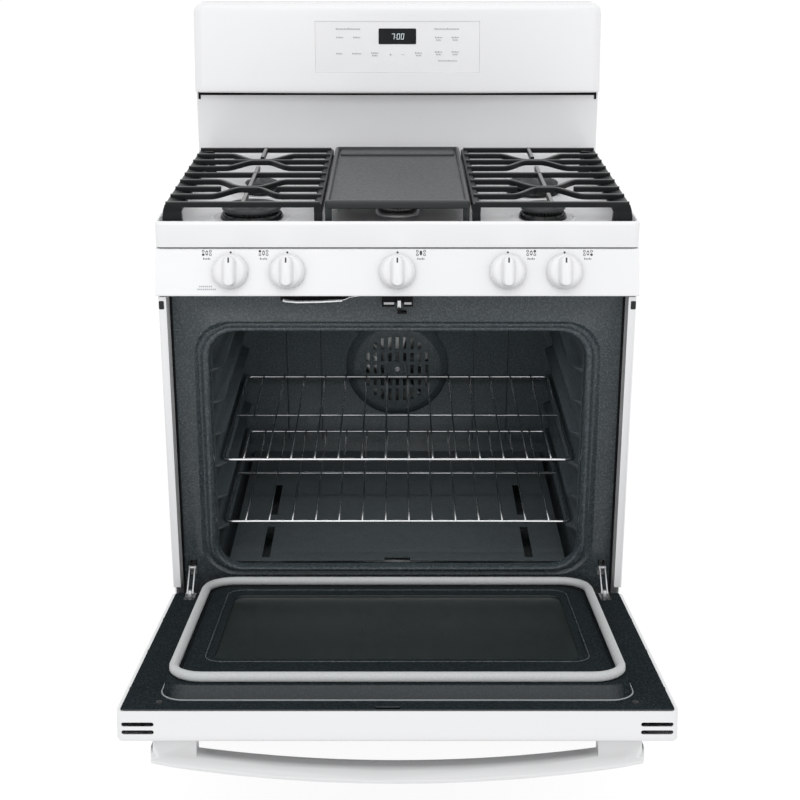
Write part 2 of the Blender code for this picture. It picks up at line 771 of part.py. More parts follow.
def oven_burners():
    """The bake burner under the oven floor and the broil burner under the oven's roof."""
    bake = bend([(-0.09, front(0.49), 0.288), (-0.09, front(0.09), 0.288), (0.09, front(0.09), 0.288),
                 (0.09, front(0.49), 0.288)], 0.045)
    node("bake_burner", tube(bake, 0.011, 8), "steel")
    broil = bend([(-0.13, front(0.49), 0.719), (-0.13, front(0.10), 0.719), (0.13, front(0.10), 0.719),
                  (0.13, front(0.49), 0.719)], 0.045)
    node("broil_burner", tube(broil, 0.0085, 8), "steel")


def racks():
    for name, step in (("rack_lower", 0), ("rack_upper", 2)):
        z = LOWEST_RACK + step * RACK_PITCH
        near, far = front(RACK_D[0]), front(RACK_D[1])
        plan = rounded(RACK_HALF, near, far, 0.012, 3)
        rack = node(name, tube([(x, y, z) for x, y in plan], RAIL_R, 8, closed=True), "chrome")
        rods = bmesh.new()
        for i in range(14):
            x = -0.26 + 0.04 * i
            path = [(x, near - 0.0010, z + 0.0034), (x, far + 0.0010, z + 0.0034)]
            tube(path, ROD_R, 6, into=rods)
        fuse(rack, rods)
        middle = (near + far) / 2
        fuse(rack, tube([(-RACK_HALF, middle, z), (RACK_HALF, middle, z)], RAIL_R - 0.0003, 8))


def door_latch():
    """The lock's housing on the front frame, and the hook that swings out of it."""
    housing = node("latch_housing", boxes(
        ((-0.0245, front(-0.0010), 0.7825), (-0.0040, front(0.0175), 0.8045)),
        ((0.0100, front(-0.0010), 0.7825), (0.0245, front(0.0175), 0.8045)),
    ), "black_enamel")
    fuse(housing, box((-0.0240, front(0.0148), 0.7850), (0.0240, front(0.0173), 0.8040)))
    outline = [
        (-0.0030, 0.0060), (0.0030, 0.0060), (0.0030, -0.0200), (0.0010, -0.0240),
        (-0.0110, -0.0240), (-0.0110, -0.0200), (-0.0030, -0.0180),
    ]
    hook = node("latch_hook", prism_x(outline, -0.0028, 0.0028), "chrome")
    hook.location = (0.0030, front(0.0070), 0.7965)


def hinge_arms():
    """Steel arms hooked into the body; the door turns on the pin at their front ends."""
    for name, side in (("hinge_arm_left", -1), ("hinge_arm_right", 1)):
        path = [(0.0, 0.0), (0.0386, 0.0270), (0.0700, 0.0320)]
        outline = strip_outline(path, 0.0050)
        leaves = bmesh.new()
        for offset in (-0.0045, 0.0045):
            centre = side * HINGE_X + offset
            leaf = [(front(HINGE_D) + y, HINGE_Z + z) for y, z in outline]
            prism_x(leaf, centre - 0.0010, centre + 0.0010, into=leaves)
        arm = node(name, leaves, "chrome")
        pins = bmesh.new()
        for (y, z), radius in ((path[0], 0.0030), (path[1], 0.0042), (path[2], 0.0030)):
            centre = (side * HINGE_X, front(HINGE_D) + y, HINGE_Z + z)
            merge(turned_x(radius, 0.0062, centre, 10), pins)
        fuse(arm, pins)


def turned_x(radius, half_length, centre, steps=16):
    profile = ((0, -half_length), (radius, -half_length), (radius, half_length), (0, half_length))
    shape = turned(profile, steps)
    for vert in shape.verts:
        x, y, z = vert.co
        vert.co = (centre[0] + z, centre[1] + x, centre[2] + y)
    return shape


def strip_outline(path, half):
    """Outline of a flat strip of even width round a path, with a round front end."""
    sides = []
    for i, (y, z) in enumerate(path):
        y0, z0 = path[max(i - 1, 0)]
        y1, z1 = path[min(i + 1, len(path) - 1)]
        length = hypot(y1 - y0, z1 - z0)
        sides.append((-(z1 - z0) / length * half, (y1 - y0) / length * half))
    upper = [(y + sy, z + sz) for (y, z), (sy, sz) in zip(path, sides)]
    lower = [(y - sy, z - sz) for (y, z), (sy, sz) in zip(path, sides)]
    along = (sides[0][1], -sides[0][0])
    nose = [(-along[0] * sin(a) + sides[0][0] * cos(a), -along[1] * sin(a) + sides[0][1] * cos(a))
            for a in (pi / 4, pi / 2, 3 * pi / 4)]
    return upper[::-1] + nose + lower


# Door -----------------------------------------------------------------------------------------


def door_axis():
    """The hinge pin's line; the door's pieces hang on it, turned to the open stop."""
    pin = bpy.data.objects.new("door_axis", None)
    bpy.context.scene.collection.objects.link(pin)
    pin.location = (0, front(HINGE_D), HINGE_Z)
    pin.rotation_euler = (DOOR_OPEN, 0, 0)
    return pin


def door_ring(inset, y, steps=3):
    return upright_ring(DOOR_HALF - inset, DOOR_Z[0] + inset, DOOR_Z[1] - inset,
                        max(0.010 - inset, 0.002), y, steps)


def window_ring(half, low, high, y, radius=0.012):
    return upright_ring(half, low, high, radius, y, 3)


def door_outer_panel(pin):
    wall = 0.0018
    face, bulge = DOOR_FACE, DOOR_BULGE
    rings = [
        door_ring(0.0100, -0.0065), door_ring(0.0100, -0.0050), door_ring(0.0, -0.0050),
        door_ring(0.0, -0.0440), door_ring(0.0020, -0.0475), door_ring(0.0060, face),
        door_ring(0.0470, face), door_ring(0.0500, face - 0.0020), door_ring(0.0560, bulge + 0.0010),
        door_ring(0.0640, bulge),
        window_ring(0.236, 0.125, 0.385, bulge),
        window_ring(0.236, 0.125, 0.385, bulge + wall),
        door_ring(0.0630, bulge + wall), door_ring(0.0550, bulge + wall + 0.001),
        door_ring(0.0490, face), door_ring(0.0460, face + wall), door_ring(0.0076, face + wall),
        door_ring(0.0038, -0.0462), door_ring(wall, -0.0434), door_ring(wall, -0.0065),
    ]
    skin = node("door_outer_panel", loft(rings, closed=True), "white_enamel", pin)
    vents = bmesh.new()
    for side in (-1, 1):
        for y in (-0.0236, -0.0346):
            slot = rounded(0.0220, y - 0.0029, y + 0.0029, 0.0028, 2)
            loft([[(side * 0.3500 + x, v, z) for x, v in slot] for z in (0.490, 0.505)], into=vents)
    cut(skin, vents)
    notches = bmesh.new()
    for side in (-1, 1):
        low, high = side * HINGE_X - 0.0105, side * HINGE_X + 0.0105
        box((low, -0.0080, -0.0115), (high, -0.0040, 0.0010), into=notches)
    box((-0.030, -0.0080, 0.4870), (0.012, -0.0040, 0.4955), into=notches)
    cut(skin, notches)


def door_liner(pin):
    profile = (
        (0.3735, -0.0083, 0.4985, 0.006, -0.0047), (0.3735, -0.0083, 0.4985, 0.006, -0.0030),
        (0.3270, 0.0045, 0.4700, 0.036, -0.0030), (0.3250, 0.0065, 0.4680, 0.035, -0.0012),
        (0.3210, 0.0105, 0.4640, 0.034, 0.0170), (0.3190, 0.0125, 0.4620, 0.034, 0.0190),
        (0.3050, 0.0255, 0.4480, 0.034, 0.0190), (0.2770, 0.0430, 0.3760, 0.026, 0.0180),
        (0.2740, 0.0460, 0.3730, 0.024, 0.0165), (0.2640, 0.0660, 0.3590, 0.018, 0.0165),
        (0.2640, 0.0660, 0.3590, 0.018, 0.0150), (0.2745, 0.0455, 0.3735, 0.024, 0.0150),
        (0.3045, 0.0260, 0.4475, 0.034, 0.0174), (0.3180, 0.0135, 0.4610, 0.034, 0.0174),
        (0.3194, 0.0121, 0.4624, 0.034, 0.0160), (0.3240, 0.0075, 0.4670, 0.034, -0.0047),
    )
    rings = [upright_ring(half, low, high, r, y, 5) for half, low, high, r, y in profile]
    liner = node("door_liner", loft(rings, closed=True), "dark_porcelain", pin)
    slots = bmesh.new()
    for side in (-1, 1):
        low, high = side * HINGE_X - 0.0095, side * HINGE_X + 0.0095
        box((low, -0.0060, -0.0100), (high, -0.0010, 0.0300), into=slots)
    box((-0.030, -0.0060, 0.4870), (0.0036, -0.0010, 0.4955), into=slots)
    cut(liner, slots)


def door_glass(pin):
    inner = [window_ring(0.271, 0.0560, 0.3670, y, 0.020) for y in (0.0105, 0.0146)]
    node("door_glass_inner", loft(inner), "dark_glass", pin)
    outer = [window_ring(0.246, 0.1150, 0.3950, DOOR_BULGE + y) for y in (0.0021, 0.0061)]
    node("door_glass_outer", loft(outer), "dark_glass", pin)


def door_gasket(pin):
    path = upright_ring(0.3127, 0.0190, 0.4550, 0.044, 0.0264, 6)
    node("door_gasket", tube(path, 0.0070, 8, closed=True), "gasket", pin)


def handle_standoff(x):
    """How far the handle bar's middle stands off the door's edge plane: an arc, most at its middle."""
    ends, middle, half = 0.022, 0.050, 0.334
    rise = middle - ends
    radius = (half * half + rise * rise) / (2 * rise)
    return middle - (radius - sqrt(radius * radius - x * x))


def door_handle(pin):
    half, top = 0.334, DOOR_Z[1] - 0.006
    section = [(u, v) for u, v in rounded(0.014, -0.013, 0.013, 0.008, 3)]
    rings = []
    for i in range(25):
        x = -half + 2 * half * i / 24
        y = DOOR_FACE - handle_standoff(x)
        shrink = 0.93 if i in (0, 24) else 1.0
        rings.append([(x, y + u * shrink, top - 0.013 + v * shrink) for u, v in section])
    handle = node("door_handle", loft(rings), "white_plastic", pin)
    blocks = bmesh.new()
    for side in (-1, 1):
        rings = []
        for x in sorted((side * 0.2720, side * 0.3310)):
            reach = DOOR_FACE - handle_standoff(x)
            rings.append([(x, DOOR_FACE - GAP, top - 0.0255), (x, DOOR_FACE - GAP, top - 0.0005),
                          (x, reach, top - 0.0005), (x, reach, top - 0.0255)])
        loft(rings, into=blocks)
    fuse(handle, blocks)


def door_hinges(pin):
    """Spring boxes inside the door, each with an ear that turns on its arm's pin."""
    for name, side in (("door_hinge_left", -1), ("door_hinge_right", 1)):
        x = side * HINGE_X
        channel = box((x - 0.008, -0.0300, -0.0080), (x + 0.008, -0.0120, 0.1800))
        hinge = node(name, channel, "steel", pin)
        ear = [(-0.0130, -0.0066), (-0.0130, 0.0066)]
        ear += [(0.0068 * sin(a), 0.0068 * cos(a)) for a in (0, pi / 4, pi / 2, 3 * pi / 4, pi)]
        fuse(hinge, prism_x(ear, x - 0.0026, x + 0.0026))
        cut(hinge, turned_x(0.0034, 0.0100, (x, 0, 0)))


# Drawer ---------------------------------------------------------------------------------------


def drawer():
    low, high = DRAWER_Z
    face = front(DRAWER_FACE)
    back = front(-0.0030)
    wall = 0.0018

    def ring(inset, y):
        return upright_ring(DOOR_HALF - inset, low + inset, high - inset, max(0.010 - inset, 0.002), y, 3)

    skins = [
        ring(0.0094, face + wall), ring(0.0044, face + 0.0042), ring(wall, face + 0.0100), ring(wall, back),
        ring(0, back), ring(0, face + 0.0095), ring(0.0028, face + 0.0030), ring(0.0090, face),
    ]
    node("drawer_front", loft(skins), "white_enamel")
    near, far = face + 0.0025, front(0.500)
    half, floor, rim, skin = 0.335, 0.075, 0.205, 0.0013

    def tray(inset, z):
        return [(-half + inset, near + inset, z), (half - inset, near + inset, z),
                (half - inset, far - inset, z), (-half + inset, far - inset, z)]

    rings = [tray(skin, floor + skin), tray(skin, rim), tray(0, rim), tray(0, floor)]
    node("drawer_box", loft(rings), "steel")


# Backguard ------------------------------------------------------------------------------------


def backsplash():
    near, far, half = front(SPLASH_D), front(0.6148), HALF_WIDTH - 0.0004
    wall = SHEET
    low, high = COOKTOP_Z[0], SPLASH_TOP

    def ring(inset, z):
        return [(-half + inset, near + inset, z), (half - inset, near + inset, z),
                (half - inset, far - inset, z), (-half + inset, far - inset, z)]

    node("backsplash", loft([ring(wall, low), ring(0, low), ring(0, high), ring(wall, high)], closed=True),
         "white_enamel")


def console_drop(x):
    """How far the console's rounded end corners fall back at a place along it."""
    over = max(0.0, abs(x) - (HALF_WIDTH - CONSOLE_CORNER)) / CONSOLE_CORNER
    return CONSOLE_CORNER * (1 - sqrt(max(0.0, 1 - over * over)))


def console_front(x, z, standoff=0.0):
    """Depth of the console's face: bowed in plan, leaning back towards its top."""
    bow = 0.010 * (x / HALF_WIDTH) ** 2
    lean = 0.024 * (z - CONSOLE_Z[0]) / (CONSOLE_Z[1] - CONSOLE_Z[0])
    return front(0.513 + bow + lean + 0.7 * console_drop(x) - standoff)


def console_stations():
    edge = HALF_WIDTH - CONSOLE_CORNER
    corner = [edge + CONSOLE_CORNER * sin(a * pi / 2) for a in (0.25, 0.5, 0.75, 0.97)]
    middle = [edge * i / 8 for i in range(-8, 9)]
    return [-x for x in reversed(corner)] + middle + corner


def console_housing():
    rings = []
    for x in console_stations():
        drop = 0.75 * console_drop(x)
        low, high, back = CONSOLE_Z[0], CONSOLE_Z[1] - drop, front(CONSOLE_BACK) - 0.3 * drop
        top, foot = console_front(x, high), console_front(x, low)
        rings.append([
            (x, back, low), (x, back, high), (x, top + 0.008, high - 0.0008), (x, top + 0.002, high - 0.0030),
            (x, console_front(x, high - 0.008), high - 0.0090),
            (x, console_front(x, low + 0.006), low + 0.006), (x, foot + 0.0015, low + 0.0012),
            (x, foot + 0.005, low),
        ])
    housing = node("console_housing", loft(rings), "white_enamel")
    cut(housing, console_hollow())
    cut(housing, touch_slab(0.004, -0.0024, 0.0))


def console_hollow():
    """The space inside the console, open downwards into the splash panel."""
    wall, floor, back = 0.0038, CONSOLE_Z[0] + 0.0025, front(0.6130)
    rings = []
    for i in range(9):
        x = 0.364 * (i / 4 - 1)
        top = CONSOLE_Z[1] - 0.012
        rings.append([
            (x, back, CONSOLE_Z[0] - 0.010), (x, back, top), (x, console_front(x, top) + wall, top),
            (x, console_front(x, floor) + wall, floor), (x, front(0.553), floor),
            (x, front(0.553), CONSOLE_Z[0] - 0.010),
        ])
    return loft(rings)


def touch_slab(near, far, inset):
    """A slab that follows the console's bowed face, from near in front of it to far behind it."""
    half = TOUCH_X - inset
    low, high = TOUCH_Z[0] + inset, TOUCH_Z[1] - inset
    rings = []
    for i in range(9):
        x = -half + 2 * half * i / 8
        rings.append([(x, console_front(x, low, near), low), (x, console_front(x, high, near), high),
                      (x, console_front(x, high, far), high), (x, console_front(x, low, far), low)])
    return loft(rings)


def touch_panel():
    node("touch_panel", touch_slab(-0.0008, -0.0021, 0.0004), "grey_membrane")


def build():
    clear_scene()
    side_panel("side_panel_left", -1)
    side_panel("side_panel_right", 1)
    rear_panel()
    base_frame()
    levelling_feet()
    cooktop()
    round_burners()
    oval_burner()
    grate("grate_left", -1)
    grate("grate_right", 1)
    griddle()
    control_panel()
    knobs()
    manifold()
    front_frame()
    oven_liner()
    oven_floor()
    convection_fan()
    oven_burners()
    racks()
    door_latch()
    hinge_arms()
    pin = door_axis()
    door_outer_panel(pin)
    door_liner(pin)
    door_glass(pin)
    door_gasket(pin)
    door_handle(pin)
    door_hinges(pin)
    drawer()
    backsplash()
    console_housing()
    touch_panel()


build()
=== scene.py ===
"""Looks of the freestanding gas range: materials, finer meshes, light and camera.

Everything is in the row frame, in metres: +X is the user's right, +Y points at the wall, +Z is up.
Depths are counted from the cooktop's front lip towards the wall, as in front(0.1).
"""

import json
from math import asin, cos, hypot, pi, radians, sin, sqrt

import bmesh
import bpy
from mathutils import Matrix, Vector

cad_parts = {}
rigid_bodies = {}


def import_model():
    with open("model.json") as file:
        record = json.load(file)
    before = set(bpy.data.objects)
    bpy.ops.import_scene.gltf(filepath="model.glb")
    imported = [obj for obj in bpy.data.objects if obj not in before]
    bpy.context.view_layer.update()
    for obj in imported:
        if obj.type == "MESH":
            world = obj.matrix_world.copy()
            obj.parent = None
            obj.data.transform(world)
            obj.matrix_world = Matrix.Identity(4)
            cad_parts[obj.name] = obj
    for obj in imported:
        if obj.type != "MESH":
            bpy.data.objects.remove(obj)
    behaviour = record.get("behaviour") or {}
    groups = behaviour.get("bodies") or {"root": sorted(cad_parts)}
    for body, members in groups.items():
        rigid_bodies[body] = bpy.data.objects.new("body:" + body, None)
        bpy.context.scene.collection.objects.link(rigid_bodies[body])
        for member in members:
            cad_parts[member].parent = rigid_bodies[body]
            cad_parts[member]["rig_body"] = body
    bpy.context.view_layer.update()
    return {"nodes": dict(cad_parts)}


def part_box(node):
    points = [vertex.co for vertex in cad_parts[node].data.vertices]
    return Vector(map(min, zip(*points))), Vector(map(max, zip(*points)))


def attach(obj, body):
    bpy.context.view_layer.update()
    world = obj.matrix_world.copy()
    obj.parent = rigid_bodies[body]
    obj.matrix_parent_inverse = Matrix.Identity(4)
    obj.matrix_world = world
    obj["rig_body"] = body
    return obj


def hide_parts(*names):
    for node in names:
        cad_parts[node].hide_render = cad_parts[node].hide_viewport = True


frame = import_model()

LIP_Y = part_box("cooktop")[0].y
HALF_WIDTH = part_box("cooktop")[1].x
DECK_Z = 0.900
HINGE = Vector((0, LIP_Y - 0.0206, 0.2853))
DOOR_OPEN = radians(79.5)
PANEL_TOP = (0.000, 0.8770)
PANEL_FOOT = (-0.022, 0.8055)
PANEL_TILT = asin(0.022 / hypot(0.022, PANEL_TOP[1] - PANEL_FOOT[1]))
KNOB_X = (-0.262, -0.173, 0.0, 0.173, 0.262)
KNOB_Z = 0.843
CONSOLE_Z = (1.040, 1.200)
CONSOLE_CORNER = 0.018
PRINT = 0.00012
TOUCH_X = 0.153
TOUCH_Z = (1.078, 1.171)
CONSOLE_ROWS = (1.181, 1.171, 1.1705, 1.155, 1.140, 1.125, 1.110, 1.095, 1.0785, 1.078, 1.066, 1.054)
BURNERS = {
    "left_front": (-0.238, 0.115, 0.049),
    "left_rear": (-0.238, 0.300, 0.029),
    "right_front": (0.238, 0.115, 0.037),
    "right_rear": (0.238, 0.300, 0.044),
}
GRATE_TOP = 0.950
GRATE_X = (0.117, 0.364)
GRATE_DEPTHS = (0.0100, 0.4560)


def front(depth):
    """Row Y of a depth behind the cooktop's front lip."""
    return LIP_Y + depth


# Node-graph tools -----------------------------------------------------------------------------


class Surface:
    """A Principled material and short ways to wire textures into it."""

    def __init__(self, name, color, roughness, metallic=0.0, coat=0.0, specular=0.5):
        self.material = bpy.data.materials.new(name)
        self.material.use_nodes = True
        self.tree = self.material.node_tree
        self.shader = self.tree.nodes["Principled BSDF"]
        self.set("Base Color", (*color, 1.0))
        self.set("Roughness", roughness)
        self.set("Metallic", metallic)
        self.set("Coat Weight", coat)
        self.set("Coat Roughness", 0.08)
        self.set("Specular IOR Level", specular)
        self.place = self.tree.nodes.new("ShaderNodeTexCoord").outputs["Object"]

    def set(self, socket, value):
        self.shader.inputs[socket].default_value = value

    def link(self, output, socket):
        self.tree.links.new(output, self.shader.inputs[socket])

    def stretched(self, scale):
        mapping = self.tree.nodes.new("ShaderNodeMapping")
        mapping.inputs["Scale"].default_value = scale
        self.tree.links.new(self.place, mapping.inputs["Vector"])
        return mapping.outputs["Vector"]

    def noise(self, scale, detail=3.0, roughness=0.5, stretch=None):
        node = self.tree.nodes.new("ShaderNodeTexNoise")
        node.inputs["Scale"].default_value = scale
        node.inputs["Detail"].default_value = detail
        node.inputs["Roughness"].default_value = roughness
        self.tree.links.new(self.stretched(stretch) if stretch else self.place, node.inputs["Vector"])
        return node.outputs["Fac"]

    def cells(self, scale):
        node = self.tree.nodes.new("ShaderNodeTexVoronoi")
        node.inputs["Scale"].default_value = scale
        self.tree.links.new(self.place, node.inputs["Vector"])
        return node.outputs["Distance"], node.outputs["Color"]

    def ranged(self, value, low, high, to_low, to_high):
        node = self.tree.nodes.new("ShaderNodeMapRange")
        for key, number in zip(("From Min", "From Max", "To Min", "To Max"), (low, high, to_low, to_high)):
            node.inputs[key].default_value = number
        self.tree.links.new(value, node.inputs["Value"])
        return node.outputs["Result"]

    def maths(self, operation, first, second):
        node = self.tree.nodes.new("ShaderNodeMath")
        node.operation = operation
        for socket, value in zip(node.inputs, (first, second)):
            if isinstance(value, (int, float)):
                socket.default_value = value
            else:
                self.tree.links.new(value, socket)
        return node.outputs["Value"]

    def axis(self, letter):
        node = self.tree.nodes.new("ShaderNodeSeparateXYZ")
        self.tree.links.new(self.place, node.inputs["Vector"])
        return node.outputs[letter]

    def facing(self, letter):
        """How squarely the surface faces along one of the piece's own axes, from -1 to 1."""
        node = self.tree.nodes.new("ShaderNodeSeparateXYZ")
        self.tree.links.new(self.place.node.outputs["Normal"], node.inputs["Vector"])
        return node.outputs[letter]

    def red(self, color):
        node = self.tree.nodes.new("ShaderNodeSeparateColor")
        self.tree.links.new(color, node.inputs["Color"])
        return node.outputs["Red"]

    def mixed(self, factor, first, second):
        node = self.tree.nodes.new("ShaderNodeMix")
        node.data_type = "RGBA"
        self.tree.links.new(factor, node.inputs["Factor"])
        for socket, value in zip((node.inputs["A"], node.inputs["B"]), (first, second)):
            colors = [s for s in node.inputs if s.name == socket.name and s.type == "RGBA"]
            if isinstance(value, tuple):
                colors[0].default_value = (*value, 1.0)
            else:
                self.tree.links.new(value, colors[0])
        return [s for s in node.outputs if s.type == "RGBA"][0]

    def bump(self, height, strength, distance=0.001):
        node = self.tree.nodes.new("ShaderNodeBump")
        node.inputs["Strength"].default_value = strength
        node.inputs["Distance"].default_value = distance
        self.tree.links.new(height, node.inputs["Height"])
        self.link(node.outputs["Normal"], "Normal")


def shade(color, by):
    return tuple(channel * by for channel in color)


# Materials ------------------------------------------------------------------------------------


def enamel():
    """White baked enamel: faint orange peel and a trace of unevenness in gloss."""
    color = (0.712, 0.717, 0.725)
    made = Surface("white_enamel", color, 0.2, coat=0.15)
    made.link(made.mixed(made.noise(4.0), shade(color, 0.985), color), "Base Color")
    made.link(made.ranged(made.noise(30.0), 0.3, 0.7, 0.17, 0.26), "Roughness")
    made.bump(made.noise(420.0, 2.0), 0.06, 0.0004)
    return made.material


def plastic(name="white_plastic", inner=1.0):
    """Moulded white plastic of the knobs and the handle; an inner below 1.0 paints shade onto the faces
    turned towards the door, making them greyer.
    """
    color = (0.700, 0.705, 0.710)
    made = Surface(name, color, 0.32)
    ground = made.mixed(made.noise(12.0), shade(color, 0.98), color)
    if inner < 1.0:
        # painted shade: the faces turned towards the door are darkened in the colour, standing in for the
        # door's shade
        painted_shade_towards_door = made.ranged(made.facing("Z"), -0.1, 0.95, 0.0, 1.0)
        ground = made.mixed(painted_shade_towards_door, ground, shade(color, inner))
    made.link(ground, "Base Color")
    made.link(made.ranged(made.noise(80.0), 0.3, 0.7, 0.28, 0.38), "Roughness")
    made.bump(made.noise(1500.0, 2.0), 0.08, 0.0002)
    return made.material


def membrane():
    """The touch panel's printed film."""
    color = (0.725, 0.730, 0.740)
    made = Surface("grey_membrane", color, 0.42, specular=0.3)
    made.link(made.mixed(made.noise(60.0), shade(color, 0.97), color), "Base Color")
    made.bump(made.noise(2500.0, 2.0), 0.10, 0.0001)
    return made.material


def porcelain(name, color=(0.024, 0.031, 0.034), fleck=(0.115, 0.135, 0.145), gloss=0.27, specular=0.4,
              front_painted_light=0.0):
    """Dark vitreous enamel, speckled all over; the last argument paints light onto the faces turned towards
    the user.
    """
    made = Surface(name, color, gloss, specular=specular)
    grain = made.ranged(made.noise(330.0, 2.0), 0.48, 0.66, 0.0, 0.55)
    ground = made.mixed(made.noise(9.0), shade(color, 0.85), shade(color, 1.2))
    ground = made.mixed(grain, ground, shade(fleck, 0.8))
    distance, random = made.cells(520.0)
    near = made.maths("LESS_THAN", distance, 0.26)
    chosen = made.maths("GREATER_THAN", made.red(random), 0.62)
    speckled = made.mixed(made.maths("MULTIPLY", near, chosen), ground, fleck)
    if front_painted_light:
        # painted light: the faces turned towards the user are lightened in the colour
        painted_light_towards_user = made.ranged(made.facing("Y"), -0.5, -0.95, 0.0, 0.6)
        speckled = made.mixed(painted_light_towards_user, speckled, tuple(channel + front_painted_light for channel in color))
    made.link(speckled, "Base Color")
    made.link(made.ranged(made.noise(50.0), 0.3, 0.7, gloss - 0.05, gloss + 0.09), "Roughness")
    made.bump(made.noise(300.0, 3.0), 0.12, 0.0005)
    return made.material


def cast_iron(name="cast_iron", color=(0.008, 0.0095, 0.010), sand=0.25, mottle=0.3, painted_top_highlight=0.09,
              specular=0.15):
    """Enamelled cast iron: a satin black coat over a sandy casting, with a painted highlight that makes the
    tops paler.
    """
    gloss = 0.34
    made = Surface(name, color, gloss, specular=specular)
    patches = made.mixed(made.noise(70.0, 5.0), shade(color, 1 - mottle), shade(color, 1 + mottle))
    # painted highlight: faces that look up are lightened in the colour, standing in for light from above
    painted_highlight_upward = made.ranged(made.facing("Z"), 0.55, 1.0, 0.0, 1.0)
    made.link(made.mixed(painted_highlight_upward, patches, tuple(channel + painted_top_highlight for channel in color)), "Base Color")
    made.link(made.ranged(made.noise(200.0, 4.0), 0.3, 0.7, gloss - 0.05, gloss + 0.08), "Roughness")
    made.bump(made.noise(900.0, 5.0, 0.65), sand, 0.0006)
    return made.material


def black_enamel(name="black_enamel", color=(0.012, 0.013, 0.014), gloss=0.42):
    made = Surface(name, color, gloss, specular=0.25)
    made.link(made.mixed(made.noise(40.0, 4.0), color, shade(color, 1.6)), "Base Color")
    made.link(made.ranged(made.noise(90.0), 0.3, 0.7, gloss - 0.04, gloss + 0.1), "Roughness")
    made.bump(made.noise(600.0, 4.0), 0.12, 0.0004)
    return made.material


def chrome(name="chrome", color=(0.72, 0.73, 0.74), gloss=0.16):
    """Drawn and plated wire, with faint scratches."""
    made = Surface(name, color, gloss, metallic=1.0)
    made.link(made.mixed(made.noise(60.0, 4.0), shade(color, 0.85), color), "Base Color")
    made.link(made.ranged(made.noise(350.0, 5.0), 0.3, 0.7, gloss - 0.05, gloss + 0.12), "Roughness")
    made.bump(made.noise(1400.0, 3.0), 0.05, 0.0002)
    return made.material


def galvanized():
    """Plain zinc-coated sheet, with soft spangles."""
    color = (0.46, 0.47, 0.48)
    made = Surface("galvanized", color, 0.42, metallic=1.0)
    spangle = made.red(made.cells(70.0)[1])
    made.link(made.mixed(spangle, shade(color, 0.82), shade(color, 1.12)), "Base Color")
    made.link(made.ranged(spangle, 0.0, 1.0, 0.34, 0.52), "Roughness")
    made.bump(made.noise(500.0, 3.0), 0.08, 0.0003)
    return made.material


def aluminium():
    """Die-cast aluminium of the burner heads and the fan."""
    color = (0.50, 0.505, 0.51)
    made = Surface("cast_aluminium", color, 0.42, metallic=1.0)
    made.link(made.mixed(made.noise(120.0, 5.0), shade(color, 0.7), color), "Base Color")
    made.bump(made.noise(1200.0, 4.0), 0.25, 0.0003)
    return made.material


def window_glass():
    """Dark coated glass behind a screen of printed dots."""
    color = (0.018, 0.023, 0.022)
    made = Surface("window_glass", color, 0.2, specular=0.35)
    dots = None
    for letter in "XY":
        wave = made.maths("SINE", made.maths("MULTIPLY", made.axis(letter), 2 * pi / 0.0032), 0.0)
        raised = made.ranged(wave, 0.2, 1.0, 0.0, 1.0)
        dots = raised if dots is None else made.maths("MULTIPLY", dots, raised)
    patch = made.ranged(made.noise(5.0), 0.35, 0.65, 0.1, 0.7)
    made.link(made.mixed(made.maths("MULTIPLY", dots, patch), color, (0.045, 0.056, 0.054)), "Base Color")
    made.link(made.ranged(made.noise(25.0), 0.3, 0.7, 0.16, 0.26), "Roughness")
    return made.material


def display_glass():
    made = Surface("display_glass", (0.004, 0.005, 0.006), 0.25, specular=0.15)
    made.link(made.mixed(made.noise(40.0), (0.003, 0.004, 0.005), (0.008, 0.009, 0.010)), "Base Color")
    return made.material


def gasket():
    """Braided glass-fibre rope."""
    color = (0.44, 0.455, 0.455)
    made = Surface("fibre_gasket", color, 0.7, specular=0.3)
    strands = made.maths("SINE", made.maths("MULTIPLY", made.noise(160.0, 4.0, 0.7), 40.0), 0.0)
    made.link(made.mixed(made.ranged(strands, -1.0, 1.0, 0.0, 1.0), shade(color, 0.92), shade(color, 1.05)),
              "Base Color")
    made.bump(strands, 0.12, 0.0003)
    return made.material


def ink(name, color, glow=0.0, specular=0.4):
    """Printed marks; a little noise keeps them from looking cut out of paper."""
    made = Surface(name, color, 0.55, specular=specular)
    made.link(made.mixed(made.noise(300.0), shade(color, 0.85), color), "Base Color")
    if glow:
        made.set("Emission Color", (*color, 1.0))
        made.set("Emission Strength", glow)
    return made.material


